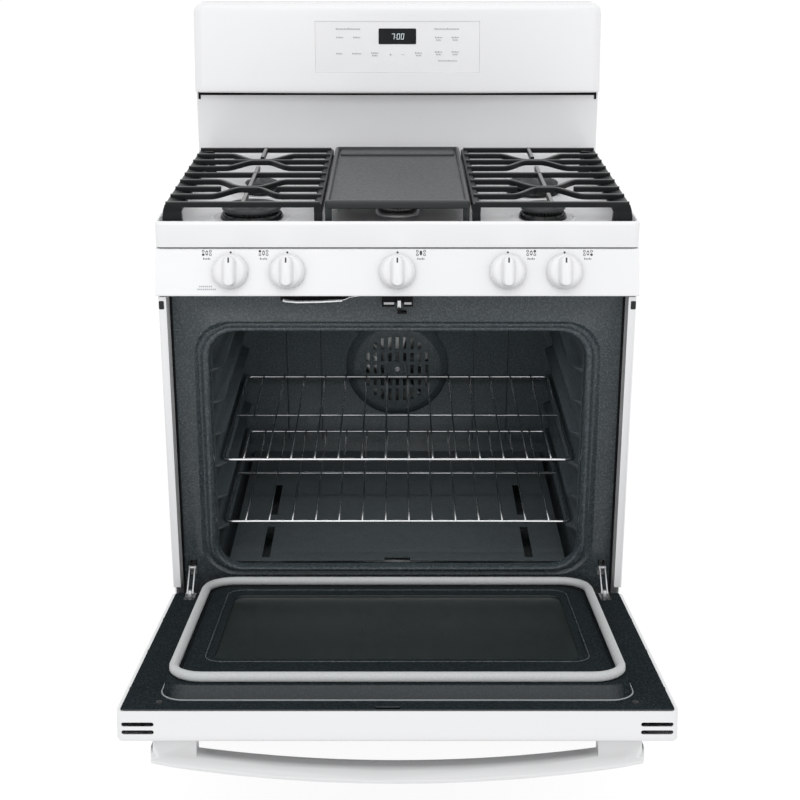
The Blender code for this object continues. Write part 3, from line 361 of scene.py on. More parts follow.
MATERIALS = {
    "enamel": enamel(),
    "plastic": plastic(),
    # the handle's plastic carries painted shade on its side towards the door
    "handle": plastic("handle_plastic_painted_shade", 0.34),
    "membrane": membrane(),
    "frame": porcelain("frame_porcelain", (0.026, 0.035, 0.039), (0.120, 0.142, 0.152)),
    # the door's porcelain is a darker copy of the frame's as painted shade, with painted light on the faces
    # towards the user
    "flange": porcelain("door_porcelain_painted_shade_and_light", (0.012, 0.016, 0.018), (0.044, 0.053, 0.058), 0.36, 0.0, 0.11),
    # the cavity's porcelain is paler than the frame's, painted light for the dim oven inside
    "cavity": porcelain("cavity_porcelain_painted_light", (0.034, 0.043, 0.047), (0.100, 0.118, 0.126), 0.36, 0.3),
    "oven_floor": porcelain("oven_floor_porcelain", (0.050, 0.060, 0.064), (0.120, 0.138, 0.146), 0.34, 0.35),
    # a pale porcelain used only as a painted highlight along the door plug's shoulder
    "edge": porcelain("shoulder_painted_highlight", (0.24, 0.26, 0.27), (0.34, 0.36, 0.37), 0.30, 0.4),
    "iron": cast_iron(),
    # the grate's middle fingers get a stronger painted highlight on their tops
    "finger": cast_iron("finger_iron_painted_highlight", painted_top_highlight=0.22),
    # the grates' rails are a darker copy of the same cast iron, painted shade
    "rail": cast_iron("rail_iron_painted_shade", (0.006, 0.007, 0.0075), painted_top_highlight=0.0),
    "griddle": cast_iron("griddle_iron", (0.014, 0.017, 0.018), 0.05, 0.08, 0.03, 0.3),
    "black": black_enamel(),
    "cap": black_enamel("cap_enamel", (0.030, 0.033, 0.034), 0.34),
    "head": black_enamel("head_enamel", (0.006, 0.007, 0.007), 0.14),
    "chrome": chrome(),
    "steel": chrome("plain_steel", (0.45, 0.46, 0.47), 0.36),
    "galvanized": galvanized(),
    "aluminium": aluminium(),
    "glass": window_glass(),
    "display": display_glass(),
    "gasket": gasket(),
    "ink": ink("grey_ink", (0.045, 0.047, 0.050)),
    "pale_ink": ink("pale_ink", (0.33, 0.35, 0.37)),
    "digits": ink("lit_digits", (0.62, 0.70, 0.73), 0.35),
    "ceramic": ink("white_ceramic", (0.70, 0.69, 0.66)),
    # black for the lock's own dark parts, and painted shade where dark strips fill slots, seams and channels
    "black_and_painted_shade": ink("black_parts_and_painted_shade", (0.006, 0.006, 0.007), specular=0.1),
}


# Mesh tools -----------------------------------------------------------------------------------


def piece(name, shape, material, body, bevel=0.0, angle=40, replaces=()):
    """Makes a mesh into a piece of the range that rides on a body."""
    bmesh.ops.recalc_face_normals(shape, faces=shape.faces)
    mesh = bpy.data.meshes.new(name)
    shape.to_mesh(mesh)
    shape.free()
    mesh.shade_smooth()
    mesh.set_sharp_from_angle(angle=radians(angle))
    obj = bpy.data.objects.new(name, mesh)
    bpy.context.scene.collection.objects.link(obj)
    obj.data.materials.append(MATERIALS[material])
    if bevel:
        soften(obj, bevel, angle)
    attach(obj, body)
    if replaces:
        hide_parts(*replaces)
    return obj


def soften(obj, width, angle):
    """Rounds the hard edges, so that they catch light."""
    rounding = obj.modifiers.new("Rounding", "BEVEL")
    rounding.width = width
    rounding.segments = 2
    rounding.limit_method = "ANGLE"
    rounding.angle_limit = radians(angle)
    rounding.harden_normals = True
    rounding.use_clamp_overlap = True


def refined(name, material, bevel=0.0005, angle=40):
    """A CAD node's own shape, shaded smooth, with its hard edges rounded."""
    source = frame["nodes"][name]
    shape = bmesh.new()
    shape.from_mesh(source.data)
    bmesh.ops.remove_doubles(shape, verts=shape.verts, dist=1e-6)
    bmesh.ops.dissolve_limit(shape, angle_limit=radians(0.6), verts=shape.verts, edges=shape.edges)
    return piece(f"{name}_fine", shape, material, source["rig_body"], bevel, angle, (name,))


def loft(rings, closed=False, into=None):
    """Skins rings of equally many points; the ends are capped, or joined into a loop."""
    shape = into or bmesh.new()
    rows = [[shape.verts.new(point) for point in ring] for ring in rings]
    pairs = list(zip(rows, rows[1:]))
    if closed:
        pairs.append((rows[-1], rows[0]))
    for lower, upper in pairs:
        for i in range(len(lower)):
            j = (i + 1) % len(lower)
            shape.faces.new((lower[i], lower[j], upper[j], upper[i]))
    if not closed:
        shape.faces.new(rows[0])
        shape.faces.new(rows[-1])
    return shape


def box(low, high, into=None):
    (x0, y0, z0), (x1, y1, z1) = low, high
    rings = [[(x0, y0, z), (x1, y0, z), (x1, y1, z), (x0, y1, z)] for z in (z0, z1)]
    return loft(rings, into=into)


def turned(profile, steps=32, into=None, centre=(0, 0, 0), wave=0.0, teeth=0):
    """Turns (radius, height) points about Z. teeth and wave press ports into a burner's wall."""
    shape = into or bmesh.new()
    rows = []
    for radius, height in profile:
        if radius < 1e-6:
            rows.append([shape.verts.new((centre[0], centre[1], centre[2] + height))])
            continue
        row = []
        for i in range(steps):
            r = radius - (wave if teeth and i * teeth // steps * steps // teeth == i else 0.0)
            a = 2 * pi * i / steps
            row.append(shape.verts.new((centre[0] + r * cos(a), centre[1] + r * sin(a), centre[2] + height)))
        rows.append(row)
    for lower, upper in zip(rows, rows[1:]):
        for i in range(steps):
            j = (i + 1) % steps
            corners = [lower[i % len(lower)], lower[j % len(lower)]]
            corners += [upper[j % len(upper)], upper[i % len(upper)]]
            distinct = list(dict.fromkeys(corners))
            if len(distinct) > 2:
                shape.faces.new(distinct)
    return shape


def tube(path, radius, sides=10, closed=False, into=None):
    """A round bar along a path, its section carried from point to point without twisting."""
    points = [Vector(point) for point in path]
    count = len(points)
    side = None
    rings = []
    for i, point in enumerate(points):
        before = points[(i - 1) % count] if closed or i else point
        after = points[(i + 1) % count] if closed or i < count - 1 else point
        along = (after - before).normalized()
        if side is None:
            guess = Vector((0, 0, 1)) if abs(along.z) < 0.9 else Vector((1, 0, 0))
            side = along.cross(guess)
        side = (side - along * side.dot(along)).normalized()
        other = along.cross(side)
        angles = [2 * pi * (k + 0.5) / sides for k in range(sides)]
        rings.append([point + radius * (side * cos(a) + other * sin(a)) for a in angles])
    return loft(rings, closed, into)


def ribbon(path, section, into=None):
    """Sweeps a (sideways, up) section along a level path."""
    points = [Vector(point) for point in path]
    rings = []
    for i, point in enumerate(points):
        along = points[min(i + 1, len(points) - 1)] - points[max(i - 1, 0)]
        side = Vector((along.y, -along.x, 0)).normalized()
        rings.append([point + side * s + Vector((0, 0, up)) for s, up in section])
    return loft(rings, into=into)


def rounded(half_x, half_y, radius, steps=5):
    """Points of a rounded rectangle about the origin."""
    points = []
    for quarter, (sx, sy) in enumerate(((1, 1), (-1, 1), (-1, -1), (1, -1))):
        for step in range(steps + 1):
            angle = (quarter + step / steps) * pi / 2
            x = sx * (half_x - radius) + radius * cos(angle)
            y = sy * (half_y - radius) + radius * sin(angle)
            points.append((x, y))
    return points


def moved(shape, matrix):
    bmesh.ops.transform(shape, matrix=matrix, verts=shape.verts)
    return shape


def merged(source, into):
    copies = {vert: into.verts.new(vert.co) for vert in source.verts}
    for face in source.faces:
        into.faces.new([copies[vert] for vert in face.verts])
    source.free()


def door_place():
    """Closed-door coordinates about the hinge pin, turned to the open stop."""
    return Matrix.Translation(HINGE) @ Matrix.Rotation(DOOR_OPEN, 4, "X")


def knob_place(x):
    y = front(PANEL_FOOT[0] * (PANEL_TOP[1] - KNOB_Z) / (PANEL_TOP[1] - PANEL_FOOT[1]))
    return Matrix.Translation((x, y, KNOB_Z)) @ Matrix.Rotation(pi / 2 - PANEL_TILT, 4, "X")


# CAD nodes carried over with fine edges ---------------------------------------------------------


def carried_over():
    for name in ("side_panel_left", "side_panel_right", "control_panel", "backsplash"):
        refined(name, "enamel", 0.0006)
    refined("cooktop", "enamel", 0.0, 60)
    refined("drawer_front", "enamel", 0.0, 50)
    refined("door_outer_panel", "enamel", 0.0, 50)
    refined("touch_panel", "membrane", 0.0)
    refined("front_frame", "frame", 0.0, 60)
    refined("door_liner", "flange", 0.0, 50)
    for name in ("oven_liner", "fan_cover"):
        refined(name, "cavity", 0.0, 50)
    refined("oven_floor", "oven_floor", 0.0, 50)
    refined("griddle", "griddle", 0.0006, 45)
    for name in ("rack_upper", "rack_lower"):
        refined(name, "chrome", 0.0, 70)
    refined("latch_hook", "chrome", 0.0003)
    for name in ("hinge_arm_left", "hinge_arm_right"):
        refined(name, "steel", 0.0003)
    refined("latch_housing", "black_and_painted_shade", 0.0004)
    for name in ("bake_burner", "broil_burner"):
        refined(name, "steel", 0.0, 60)
    for name in ("rear_panel", "base_frame", "drawer_box"):
        refined(name, "galvanized", 0.0005)
    for name in ("gas_manifold", "door_hinge_left", "door_hinge_right"):
        refined(name, "steel", 0.0, 45)
    refined("fan_blade", "aluminium", 0.0, 45)
    refined("door_gasket", "gasket", 0.0, 80)
    refined("door_handle", "handle", 0.0, 45)
    for name in ("door_glass_inner", "door_glass_outer"):
        refined(name, "glass", 0.0004)
    for place in ("left_front", "right_front", "left_rear", "right_rear"):
        refined(f"levelling_foot_{place}", "steel", 0.0, 45)
    for number in range(1, 6):
        refined(f"valve_stem_{number}", "steel", 0.0)


# Burners, grates ------------------------------------------------------------------------------


def squeezed(shape, half, length):
    """Stretches a round burner into the oval one."""
    stretch = length / 2 - half
    for vert in shape.verts:
        reach = hypot(vert.co.x, vert.co.y)
        share = min(1.0, max(0.0, (reach - 0.0235) / (half * 0.7 - 0.0235)))
        if abs(vert.co.y) > 1e-6:
            vert.co.y += stretch * share * (1 if vert.co.y > 0 else -1)
    return shape


def burner_head(radius):
    top = 0.0142
    foot = ((0, -0.016), (0.0235, -0.016), (0.0235, 0.0003), (radius + 0.0014, 0.0003),
            (radius + 0.0025, 0.0012), (radius + 0.0025, 0.0026), (radius + 0.0016, 0.0050),
            (radius - 0.0002, 0.0085), (radius - 0.0020, 0.0098), (radius - 0.0045, 0.0105),
            (radius - 0.0057, 0.0108))
    wall = ((radius - 0.0057, 0.0109), (radius - 0.0057, top - 0.0002))
    lid = ((radius - 0.0057, top), (0, top))
    shape = turned(foot, 64)
    turned(wall, 128, shape, wave=0.0018, teeth=32)
    turned(lid, 64, shape)
    return shape


def burner_cap(radius):
    profile = (
        (0, 0), (radius - 0.0028, 0), (radius - 0.0012, 0.0006), (radius - 0.0004, 0.0020),
        (radius - 0.0004, 0.0040), (radius - 0.0016, 0.0057), (radius - 0.0042, 0.0066),
        (radius * 0.60, 0.0071), (0, 0.0074),
    )
    return turned(profile, 64)


def burners():
    places = {name: (x, depth, radius, 2 * radius) for name, (x, depth, radius) in BURNERS.items()}
    places["oval"] = (0.0, 0.233, 0.034, 0.250)
    for name, (x, depth, radius, length) in places.items():
        head = squeezed(burner_head(radius), radius, length)
        cap = squeezed(burner_cap(radius), radius, length)
        moved(head, Matrix.Translation((x, front(depth), DECK_Z)))
        moved(cap, Matrix.Translation((x, front(depth), DECK_Z + 0.0145)))
        finish = "aluminium" if name == "oval" else "head"
        piece(f"burner_head_{name}", head, finish, "range_body", 0.0, 45,
              (f"burner_base_{name}",))
        piece(f"burner_lid_{name}", cap, "cap", "range_body", 0.0, 55,
              (f"burner_cap_{name}",))
        igniter(name, x - 0.6 * radius, depth + length / 2 + 0.004)


def deck_relief():
    """A pressed bead round each of the deck's four round burners."""
    beads = bmesh.new()
    for x, depth, radius in BURNERS.values():
        ring = [(x + (radius + 0.014) * cos(a), front(depth) + (radius + 0.014) * sin(a), DECK_Z - 0.0006)
                for a in [i * pi / 32 for i in range(64)]]
        tube(ring, 0.0018, 10, True, beads)
    piece("deck_beads", beads, "enamel", "range_body", angle=80)


def igniter(name, x, depth):
    """Spark electrode in its ceramic sleeve, beside the burner's head."""
    sleeve = ((0, 0), (0.0032, 0), (0.0032, 0.007), (0.0024, 0.0085), (0.0024, 0.011), (0, 0.011))
    tip = ((0, 0.011), (0.0009, 0.011), (0.0009, 0.0155), (0, 0.016))
    centre = (x, front(depth), DECK_Z)
    piece(f"igniter_sleeve_{name}", turned(sleeve, 16, centre=centre), "ceramic", "range_body")
    piece(f"igniter_tip_{name}", turned(tip, 10, centre=centre), "steel", "range_body")


BAR = (
    (-0.0034, -0.0092), (0.0034, -0.0092), (0.0036, -0.0028), (0.0033, -0.0011), (0.0022, -0.0003),
    (0, 0), (-0.0022, -0.0003), (-0.0033, -0.0011), (-0.0036, -0.0028),
)


def row_depth(row):
    near, far = GRATE_DEPTHS[0] + 0.0045, GRATE_DEPTHS[1] - 0.0045
    return far + (near - far) * row / 8


def wavy_path(x0, x1, row, towards):
    """A bar that swings from its own row to the next one in the grate's middle."""
    middle, path = (x0 + x1) / 2, []
    for i in range(41):
        x = x0 + (x1 - x0) * i / 40
        away = min(1.0, max(0.0, (abs(x - middle) - 0.012) / 0.046))
        swing = 1 - away * away * (3 - 2 * away)
        depth = row_depth(row) + (row_depth(towards) - row_depth(row)) * swing * 0.93
        path.append((x, front(depth), GRATE_TOP))
    return path


def grate(name, sign):
    inner, outer = sign * GRATE_X[0], sign * GRATE_X[1]
    start, end = inner + sign * 0.0045, outer - sign * 0.0015
    middle = (start + end) / 2
    shape = bmesh.new()

    def bar(row, x0, x1):
        ribbon([(x0, front(row_depth(row)), GRATE_TOP), (x1, front(row_depth(row)), GRATE_TOP)], BAR, shape)

    for row in (0, 2, 4, 8):
        bar(row, start, end)
    bar(6, start, middle - sign * 0.046)
    bar(6, middle + sign * 0.046, end)
    for row, towards in ((1, 2), (3, 2), (5, 6), (7, 6)):
        ribbon(wavy_path(start, end, row, towards), BAR, shape)
    grate_legs(shape, sign, inner, outer)
    body = name.split("_")[1] + "_grate"
    piece(f"{name}_rails", grate_rails(sign, inner, outer), "rail", body, 0.0005, 50)
    piece(f"{name}_fine", shape, "iron", body, 0.0005, 50, (name,))
    fingers = bmesh.new()
    for near, far in ((0.006, 0.0680), (0.119, 0.279), (0.359, 0.448)):
        path = [(middle, front(GRATE_DEPTHS[0] + depth), GRATE_TOP - 0.0004) for depth in (near, far)]
        ribbon(path, BAR, fingers)
    piece(f"{name}_fingers", fingers, "finger", body, 0.0005, 50)


def grate_rails(sign, inner, outer):
    shape = bmesh.new()
    near, far = front(GRATE_DEPTHS[0]), front(GRATE_DEPTHS[1])
    sections = (
        (inner, ((0, -0.0170), (0, -0.0060), (0.0015, -0.0042), (0.0035, -0.0035), (0.0100, -0.0035),
                 (0.0125, -0.0048), (0.0135, -0.0070), (0.0135, -0.0170))),
        (outer, ((0, -0.0160), (0.0003, -0.0060), (-0.0010, -0.0044), (-0.0040, -0.0040), (-0.0180, -0.0080),
                 (-0.0262, -0.0104), (-0.0270, -0.0116), (-0.0270, -0.0150))),
    )
    for x, section in sections:
        outline = [(x + sign * across, GRATE_TOP + up) for across, up in section]
        loft([[(px, y, pz) for px, pz in outline] for y in (near + 0.0008, far - 0.0008)], into=shape)
    return shape


def grate_legs(shape, sign, inner, outer):
    """Corner legs; the outer ones flare out to the cooktop's rim in a curve."""
    near, far = GRATE_DEPTHS
    for depth0, depth1 in ((near + 0.0010, near + 0.0125), (far - 0.0125, far - 0.0010)):
        levels = []
        for i in range(7):
            t = i / 6
            outside = outer + sign * 0.0060 * (1 - t) ** 0.5
            inside = outer - sign * (0.0250 + 0.0050 * (1 - t) ** 2)
            levels.append((outside, inside, DECK_Z + 0.0003 + 0.0442 * t))
        leg(shape, levels, depth0, depth1)
        leg(shape, ((inner + sign * 0.0006, inner + sign * 0.0142, DECK_Z + 0.0003),
                    (inner + sign * 0.0006, inner + sign * 0.0130, 0.9430)), depth0, depth1)


def leg(shape, levels, depth0, depth1):
    rings = [[(x0, front(depth0), z), (x1, front(depth0), z), (x1, front(depth1), z), (x0, front(depth1), z)]
             for x0, x1, z in levels]
    loft(rings, into=shape)


# Controls -------------------------------------------------------------------------------------


def knobs():
    for number, x in enumerate(KNOB_X, start=1):
        body = f"knob_body_{number}"
        piece(f"knob_{number}_fine", moved(knob_shape(), knob_place(x)), "plastic", body,
              0.0, 70, (f"knob_{number}",))
        line = box((-0.0013, 0.0132, 0.0296), (0.0013, 0.0212, 0.0304))
        piece(f"knob_pointer_{number}", moved(line, knob_place(x)), "ink", body, 0.0002)
        knob_marks(number, x)


def knob_shape():
    """A soft-edged disc whose face swells into a broad grip bar."""
    disc = (
        (0, 0.0040), (0.0270, 0.0040), (0.0279, 0.0048), (0.0280, 0.0062), (0.0277, 0.0080), (0.0269, 0.0102),
        (0.0256, 0.0128), (0.0240, 0.0150), (0.0222, 0.0166), (0.0196, 0.0177), (0.0150, 0.0183), (0, 0.0186),
    )
    shape = turned(disc, 64)
    levels = (
        (0.0124, 0.0236, 0.0160), (0.0113, 0.0235, 0.0188), (0.0102, 0.0233, 0.0212),
        (0.0093, 0.0231, 0.0240), (0.0084, 0.0229, 0.0264), (0.0071, 0.0226, 0.0284),
        (0.0052, 0.0220, 0.0297), (0.0028, 0.0212, 0.0302),
    )
    rings = [[(x, y, z) for x, y in rounded(width, length, width * 0.9, 5)] for width, length, z in levels]
    return loft(rings, into=shape)


def knob_marks(number, x):
    """A dot above the knob, and beside it a small plan of the five burners with one filled in."""
    marks = bmesh.new()
    turned(((0, 0), (0.0017, 0), (0.0017, PRINT), (0, PRINT)), 16, marks, (0.0004, 0.0302, 0))
    side = -1 if number < 3 else 1
    centre = side * 0.0370
    filled = {1: (0, 0), 2: (0, 1), 3: (1, None), 4: (2, 1), 5: (2, 0)}[number]
    for column in range(3):
        for row in range(2):
            if column == 1 and row == 1:
                continue
            chosen = filled[0] == column and filled[1] in (None, row)
            cx, cy = centre + (column - 1) * 0.0056, 0.0266 + row * 0.0054
            burner_mark(marks, cx, cy if column != 1 else 0.0293, column == 1, chosen)
    for stroke in range(5):
        low = centre - 0.0056 + stroke * 0.0024
        tall = 0.0030 if stroke in (0, 3) else 0.0021
        box((low, 0.0188, 0), (low + 0.0013, 0.0188 + tall, PRINT), into=marks)
    moved(marks, knob_place(x))
    piece(f"panel_marks_{number}", marks, "ink", "range_body")


def burner_mark(shape, x, y, tall, filled):
    """One burner of a printed plan: a ring, or a disc where it is the knob's own, stretched if oval."""
    outer, stretch, count = 0.0021, 1.9 if tall else 1.0, 14
    inner = 1e-5 if filled else outer * 0.55
    rows = [[shape.verts.new((x + r * cos(2 * pi * i / count), y + stretch * r * sin(2 * pi * i / count), z))
             for i in range(count)] for r, z in ((outer, 0.0), (outer, PRINT), (inner, PRINT))]
    for lower, upper in zip(rows, rows[1:]):
        for i in range(count):
            j = (i + 1) % count
            shape.faces.new((lower[i], lower[j], upper[j], upper[i]))


def simmer_marks():
    """The two short printed lines at the panel's left foot."""
    marks = bmesh.new()
    for y, start, strokes in ((-0.0245, -0.0160, 7), (-0.0290, -0.0190, 10)):
        for stroke in range(strokes):
            low = start + stroke * 0.0030
            box((low, y, 0), (low + 0.0019, y + 0.0023, PRINT), into=marks)
    moved(marks, knob_place(KNOB_X[0] - 0.033))
    piece("panel_marks_corner", marks, "pale_ink", "range_body")


# Console --------------------------------------------------------------------------------------


def console_drop(x):
    """How far the console's rounded end corners fall back at a place along it."""
    over = max(0.0, abs(x) - (HALF_WIDTH - CONSOLE_CORNER)) / CONSOLE_CORNER
    return CONSOLE_CORNER * (1 - sqrt(max(0.0, 1 - over * over)))


def console_front(x, z):
    """Depth of the console's face: bowed in plan, leaning back towards its top."""
    bow = 0.010 * (x / HALF_WIDTH) ** 2
    lean = 0.024 * (z - CONSOLE_Z[0]) / (CONSOLE_Z[1] - CONSOLE_Z[0])
    return front(0.513 + bow + lean + 0.7 * console_drop(x))


def console_section(x):
    """The console's outline at a place along it, with the touch panel's recess pressed in."""
    drop, top_radius, foot_radius = 0.75 * console_drop(x), 0.009, 0.005
    low, high, back = CONSOLE_Z[0], CONSOLE_Z[1] - drop, front(0.615) - 0.3 * drop
    section = [(x, back, low), (x, back, high - 0.003),
               (x, back - 0.001, high - 0.001), (x, back - 0.003, high)]
    for step in range(8):
        angle = step / 7 * pi / 2
        z = high - top_radius * (1 - cos(angle))
        section.append((x, console_front(x, z) + top_radius * (1 - sin(angle)), z))
    for z in CONSOLE_ROWS:
        inside = abs(x) < TOUCH_X - 0.0002 and TOUCH_Z[0] + 0.0002 < z < TOUCH_Z[1] - 0.0002
        section.append((x, console_front(x, z) + (0.0022 if inside else 0.0), z))
    for step in range(6):
        angle = step / 5 * pi / 2
        z = low + foot_radius * (1 - sin(angle))
        section.append((x, console_front(x, z) + foot_radius * (1 - cos(angle)), z))
    return section


def console_body():
    edge, step = HALF_WIDTH - CONSOLE_CORNER, 0.0005
    half = [edge * i / 19 for i in range(1, 20)] + [TOUCH_X - step, TOUCH_X]
    half += [edge + CONSOLE_CORNER * sin(a * pi / 2) for a in (0.12, 0.25, 0.38, 0.5, 0.62, 0.75, 0.87, 0.97)]
    stations = sorted([-x for x in half] + [0.0] + half)
    piece("console_shell", loft([console_section(x) for x in stations]), "enamel", "range_body",
          0.0, 50, ("console_housing",))


def on_console(outline, lift, thickness, into):
    """A flat print of (x, z) points, laid on the touch panel's face."""
    sunk = 0.0008
    rings = [[(x, console_front(x, z) + sunk - up, z) for x, z in outline] for up in (lift, lift + thickness)]
    return loft(rings, into=into)


def strip(x0, x1, z, height, into):
    on_console([(x0, z), (x1, z), (x1, z + height), (x0, z + height)], 0.00003, 0.0001, into)


def scribble(x0, x1, z, height, into):
    """A row of small strokes, which reads as a printed word too small to make out."""
    count = max(2, round((x1 - x0) / 0.0026))
    step = (x1 - x0) / count
    for i in range(count):
        tall = height * (1.0 if i in (0, count // 2) else 0.7)
        strip(x0 + step * i, x0 + step * (i + 0.62), z, tall, into)


def console_print():
    window = [(x, 1.1437 + z) for x, z in rounded(0.0348, 0.0142, 0.002, 4)]
    pane = on_console(window, 0.00003, 0.0006, bmesh.new())
    piece("display_window", pane, "display", "range_body", 0.0002)
    digits = bmesh.new()
    seven_segment("7", -0.0112, digits)
    seven_segment("0", -0.0014, digits)
    seven_segment("0", 0.0062, digits)
    for z in (1.1412, 1.1455):
        lit_box(-0.0036, -0.0026, z, z + 0.0011, digits)
    piece("display_digits", digits, "digits", "range_body")
    words = bmesh.new()
    for x0, x1, z in ((-0.1142, -0.0680, 1.1556), (0.0690, 0.1150, 1.1556)):
        scribble(x0, x1, z, 0.0030, words)
    for x0, x1, z in ((-0.1134, -0.0996, 1.1404), (-0.0818, -0.0680, 1.1404), (-0.1134, -0.1015, 1.1112),
                      (-0.0838, -0.0660, 1.1112), (-0.0482, -0.0344, 1.1124), (-0.0466, -0.0360, 1.1078),
                      (0.0330, 0.0468, 1.1124), (0.0345, 0.0452, 1.1078)):
        scribble(x0, x1, z, 0.0026, words)
    for z in (1.1404, 1.1142):
        for x in (0.0700, 0.1010):
            scribble(x, x + 0.0140, z, 0.0026, words)
            scribble(x + 0.0020, x + 0.0120, z - 0.0045, 0.0022, words)
    strip(-0.0150, -0.0102, 1.1101, 0.0008, words)
    strip(-0.0130, -0.0122, 1.1081, 0.0048, words)
    strip(0.0080, 0.0128, 1.1101, 0.0008, words)
    scribble(0.0760, 0.1120, 1.0985, 0.0022, words)
    piece("console_words", words, "pale_ink", "range_body")


def lit_box(x0, x1, z0, z1, into):
    lean = [(x + 0.12 * (z - 1.1382), z) for x, z in ((x0, z0), (x1, z0), (x1, z1), (x0, z1))]
    on_console(lean, 0.00065, 0.0001, into)


def seven_segment(digit, x, into):
    width, half, low, pen = 0.0054, 0.0052, 1.1382, 0.0009
    bars = {
        "top": (x, x + width, low + 2 * half - pen, low + 2 * half),
        "base": (x, x + width, low, low + pen),
        "upper_left": (x, x + pen, low + half, low + 2 * half),
        "lower_left": (x, x + pen, low, low + half),
        "upper_right": (x + width - pen, x + width, low + half, low + 2 * half),
        "lower_right": (x + width - pen, x + width, low, low + half),
    }
    lit = {"7": ("top", "upper_right", "lower_right"), "0": tuple(bars)}[digit]
    for name in lit:
        lit_box(*bars[name], into)


# Small hardware -------------------------------------------------------------------------------


def screw(into, matrix, radius=0.0036, height=0.0016):
    """A pan head with a round dished recess, standing on its own +Z."""
    profile = ((0, 0), (radius, 0), (radius, height * 0.4), (radius * 0.85, height * 0.85),
               (radius * 0.5, height), (radius * 0.42, height), (0, height * 0.35))
    merged(moved(turned(profile, 20), matrix), into)


def upright_loop(half, low, high, corner, y, steps=8):
    """A rounded rectangle standing in the closed door's plane."""
    middle, tall = (low + high) / 2, (high - low) / 2
    return [(x, y, middle + z) for x, z in rounded(half, tall, corner, steps)]


def door_relief():
    """The door's inner face: a painted highlight along the plug's shoulder, the window's bead, screws, and
    dark marks of painted shade in the gasket's channel and the notches.
    """
    place = door_place()
    shoulder = tube(upright_loop(0.3262, 0.0053, 0.4692, 0.035, -0.0016), 0.0012, 8, True)
    # painted highlight: a pale tube along the plug's shoulder
    piece("plug_shoulder_painted_highlight", moved(shoulder, place), "edge", "door", angle=80)
    bead = tube(upright_loop(0.2765, 0.0435, 0.3755, 0.025, 0.0184), 0.0010, 8, True)
    piece("window_bead", moved(bead, place), "frame", "door", angle=80)
    # painted shade: a dark tube inside the gasket, standing in for the shade of its channel
    groove_shade = tube(upright_loop(0.3040, 0.0277, 0.4463, 0.036, 0.0188), 0.0013, 8, True)
    piece("gasket_groove_painted_shade", moved(groove_shade, place), "black_and_painted_shade", "door", angle=80)
    heads, marks = bmesh.new(), bmesh.new()
    for side in (-1, 1):
        seat = place @ Matrix.Translation((side * 0.3236, -0.0031, 0.4745))
        screw(heads, seat @ Matrix.Rotation(-pi / 2, 4, "X"), 0.0050, 0.0022)
        for x, z, half, tall in ((0.3490, 0.137, 0.0085, 0.0014), (0.3726, 0.125, 0.0015, 0.0032),
                                 (0.3726, 0.270, 0.0015, 0.0032), (0.3726, 0.420, 0.0015, 0.0032)):
            box((side * x - half, -0.0033, z - tall), (side * x + half, -0.0028, z + tall), marks)
    piece("door_screws", heads, "black", "door")
    # painted shade: dark marks on the flange where it has notches
    piece("door_notches_painted_shade", moved(marks, place), "black_and_painted_shade", "door")


def rear_details():
    """The rear panel's screws: two rows of five, and three down each side."""
    heads = bmesh.new()
    spots = [(x, z) for x in (-0.365, -0.18, 0.0, 0.18, 0.365) for z in (0.045, 0.860)]
    spots += [(x, z) for z in (0.25, 0.45, 0.65) for x in (-0.365, 0.365)]
    for x, z in spots:
        seat = Matrix.Translation((x, front(0.6149), z))
        screw(heads, seat @ Matrix.Rotation(-pi / 2, 4, "X"), 0.004, 0.002)
    piece("rear_screws", heads, "steel", "range_body")


def cavity_relief():
    """Pressed beads of the oven's back wall, and the screw that holds the fan's cover."""
    wall = front(0.5146)
    beads = bmesh.new()
    for side in (-1, 1):
        for x in (0.217, 0.150):
            tube([(side * x, wall, 0.345), (side * x, wall, 0.705)], 0.0016, 8, into=beads)
    piece("back_wall_beads", beads, "cavity", "range_body", angle=80)
    heads = bmesh.new()
    place = Matrix.Translation((0, front(0.4973), 0.500)) @ Matrix.Rotation(pi / 2, 4, "X")
    screw(heads, place, 0.0060, 0.0024)
    piece("fan_screw", heads, "steel", "range_body")
    rings = bmesh.new()
    for radius in (0.0135, 0.0200):
        turns = [i * pi / 24 for i in range(48)]
        path = [(radius * cos(a), front(0.4972), 0.500 + radius * sin(a)) for a in turns]
        tube(path, 0.0010, 8, True, rings)
    piece("fan_rings", rings, "cavity", "range_body", angle=80)


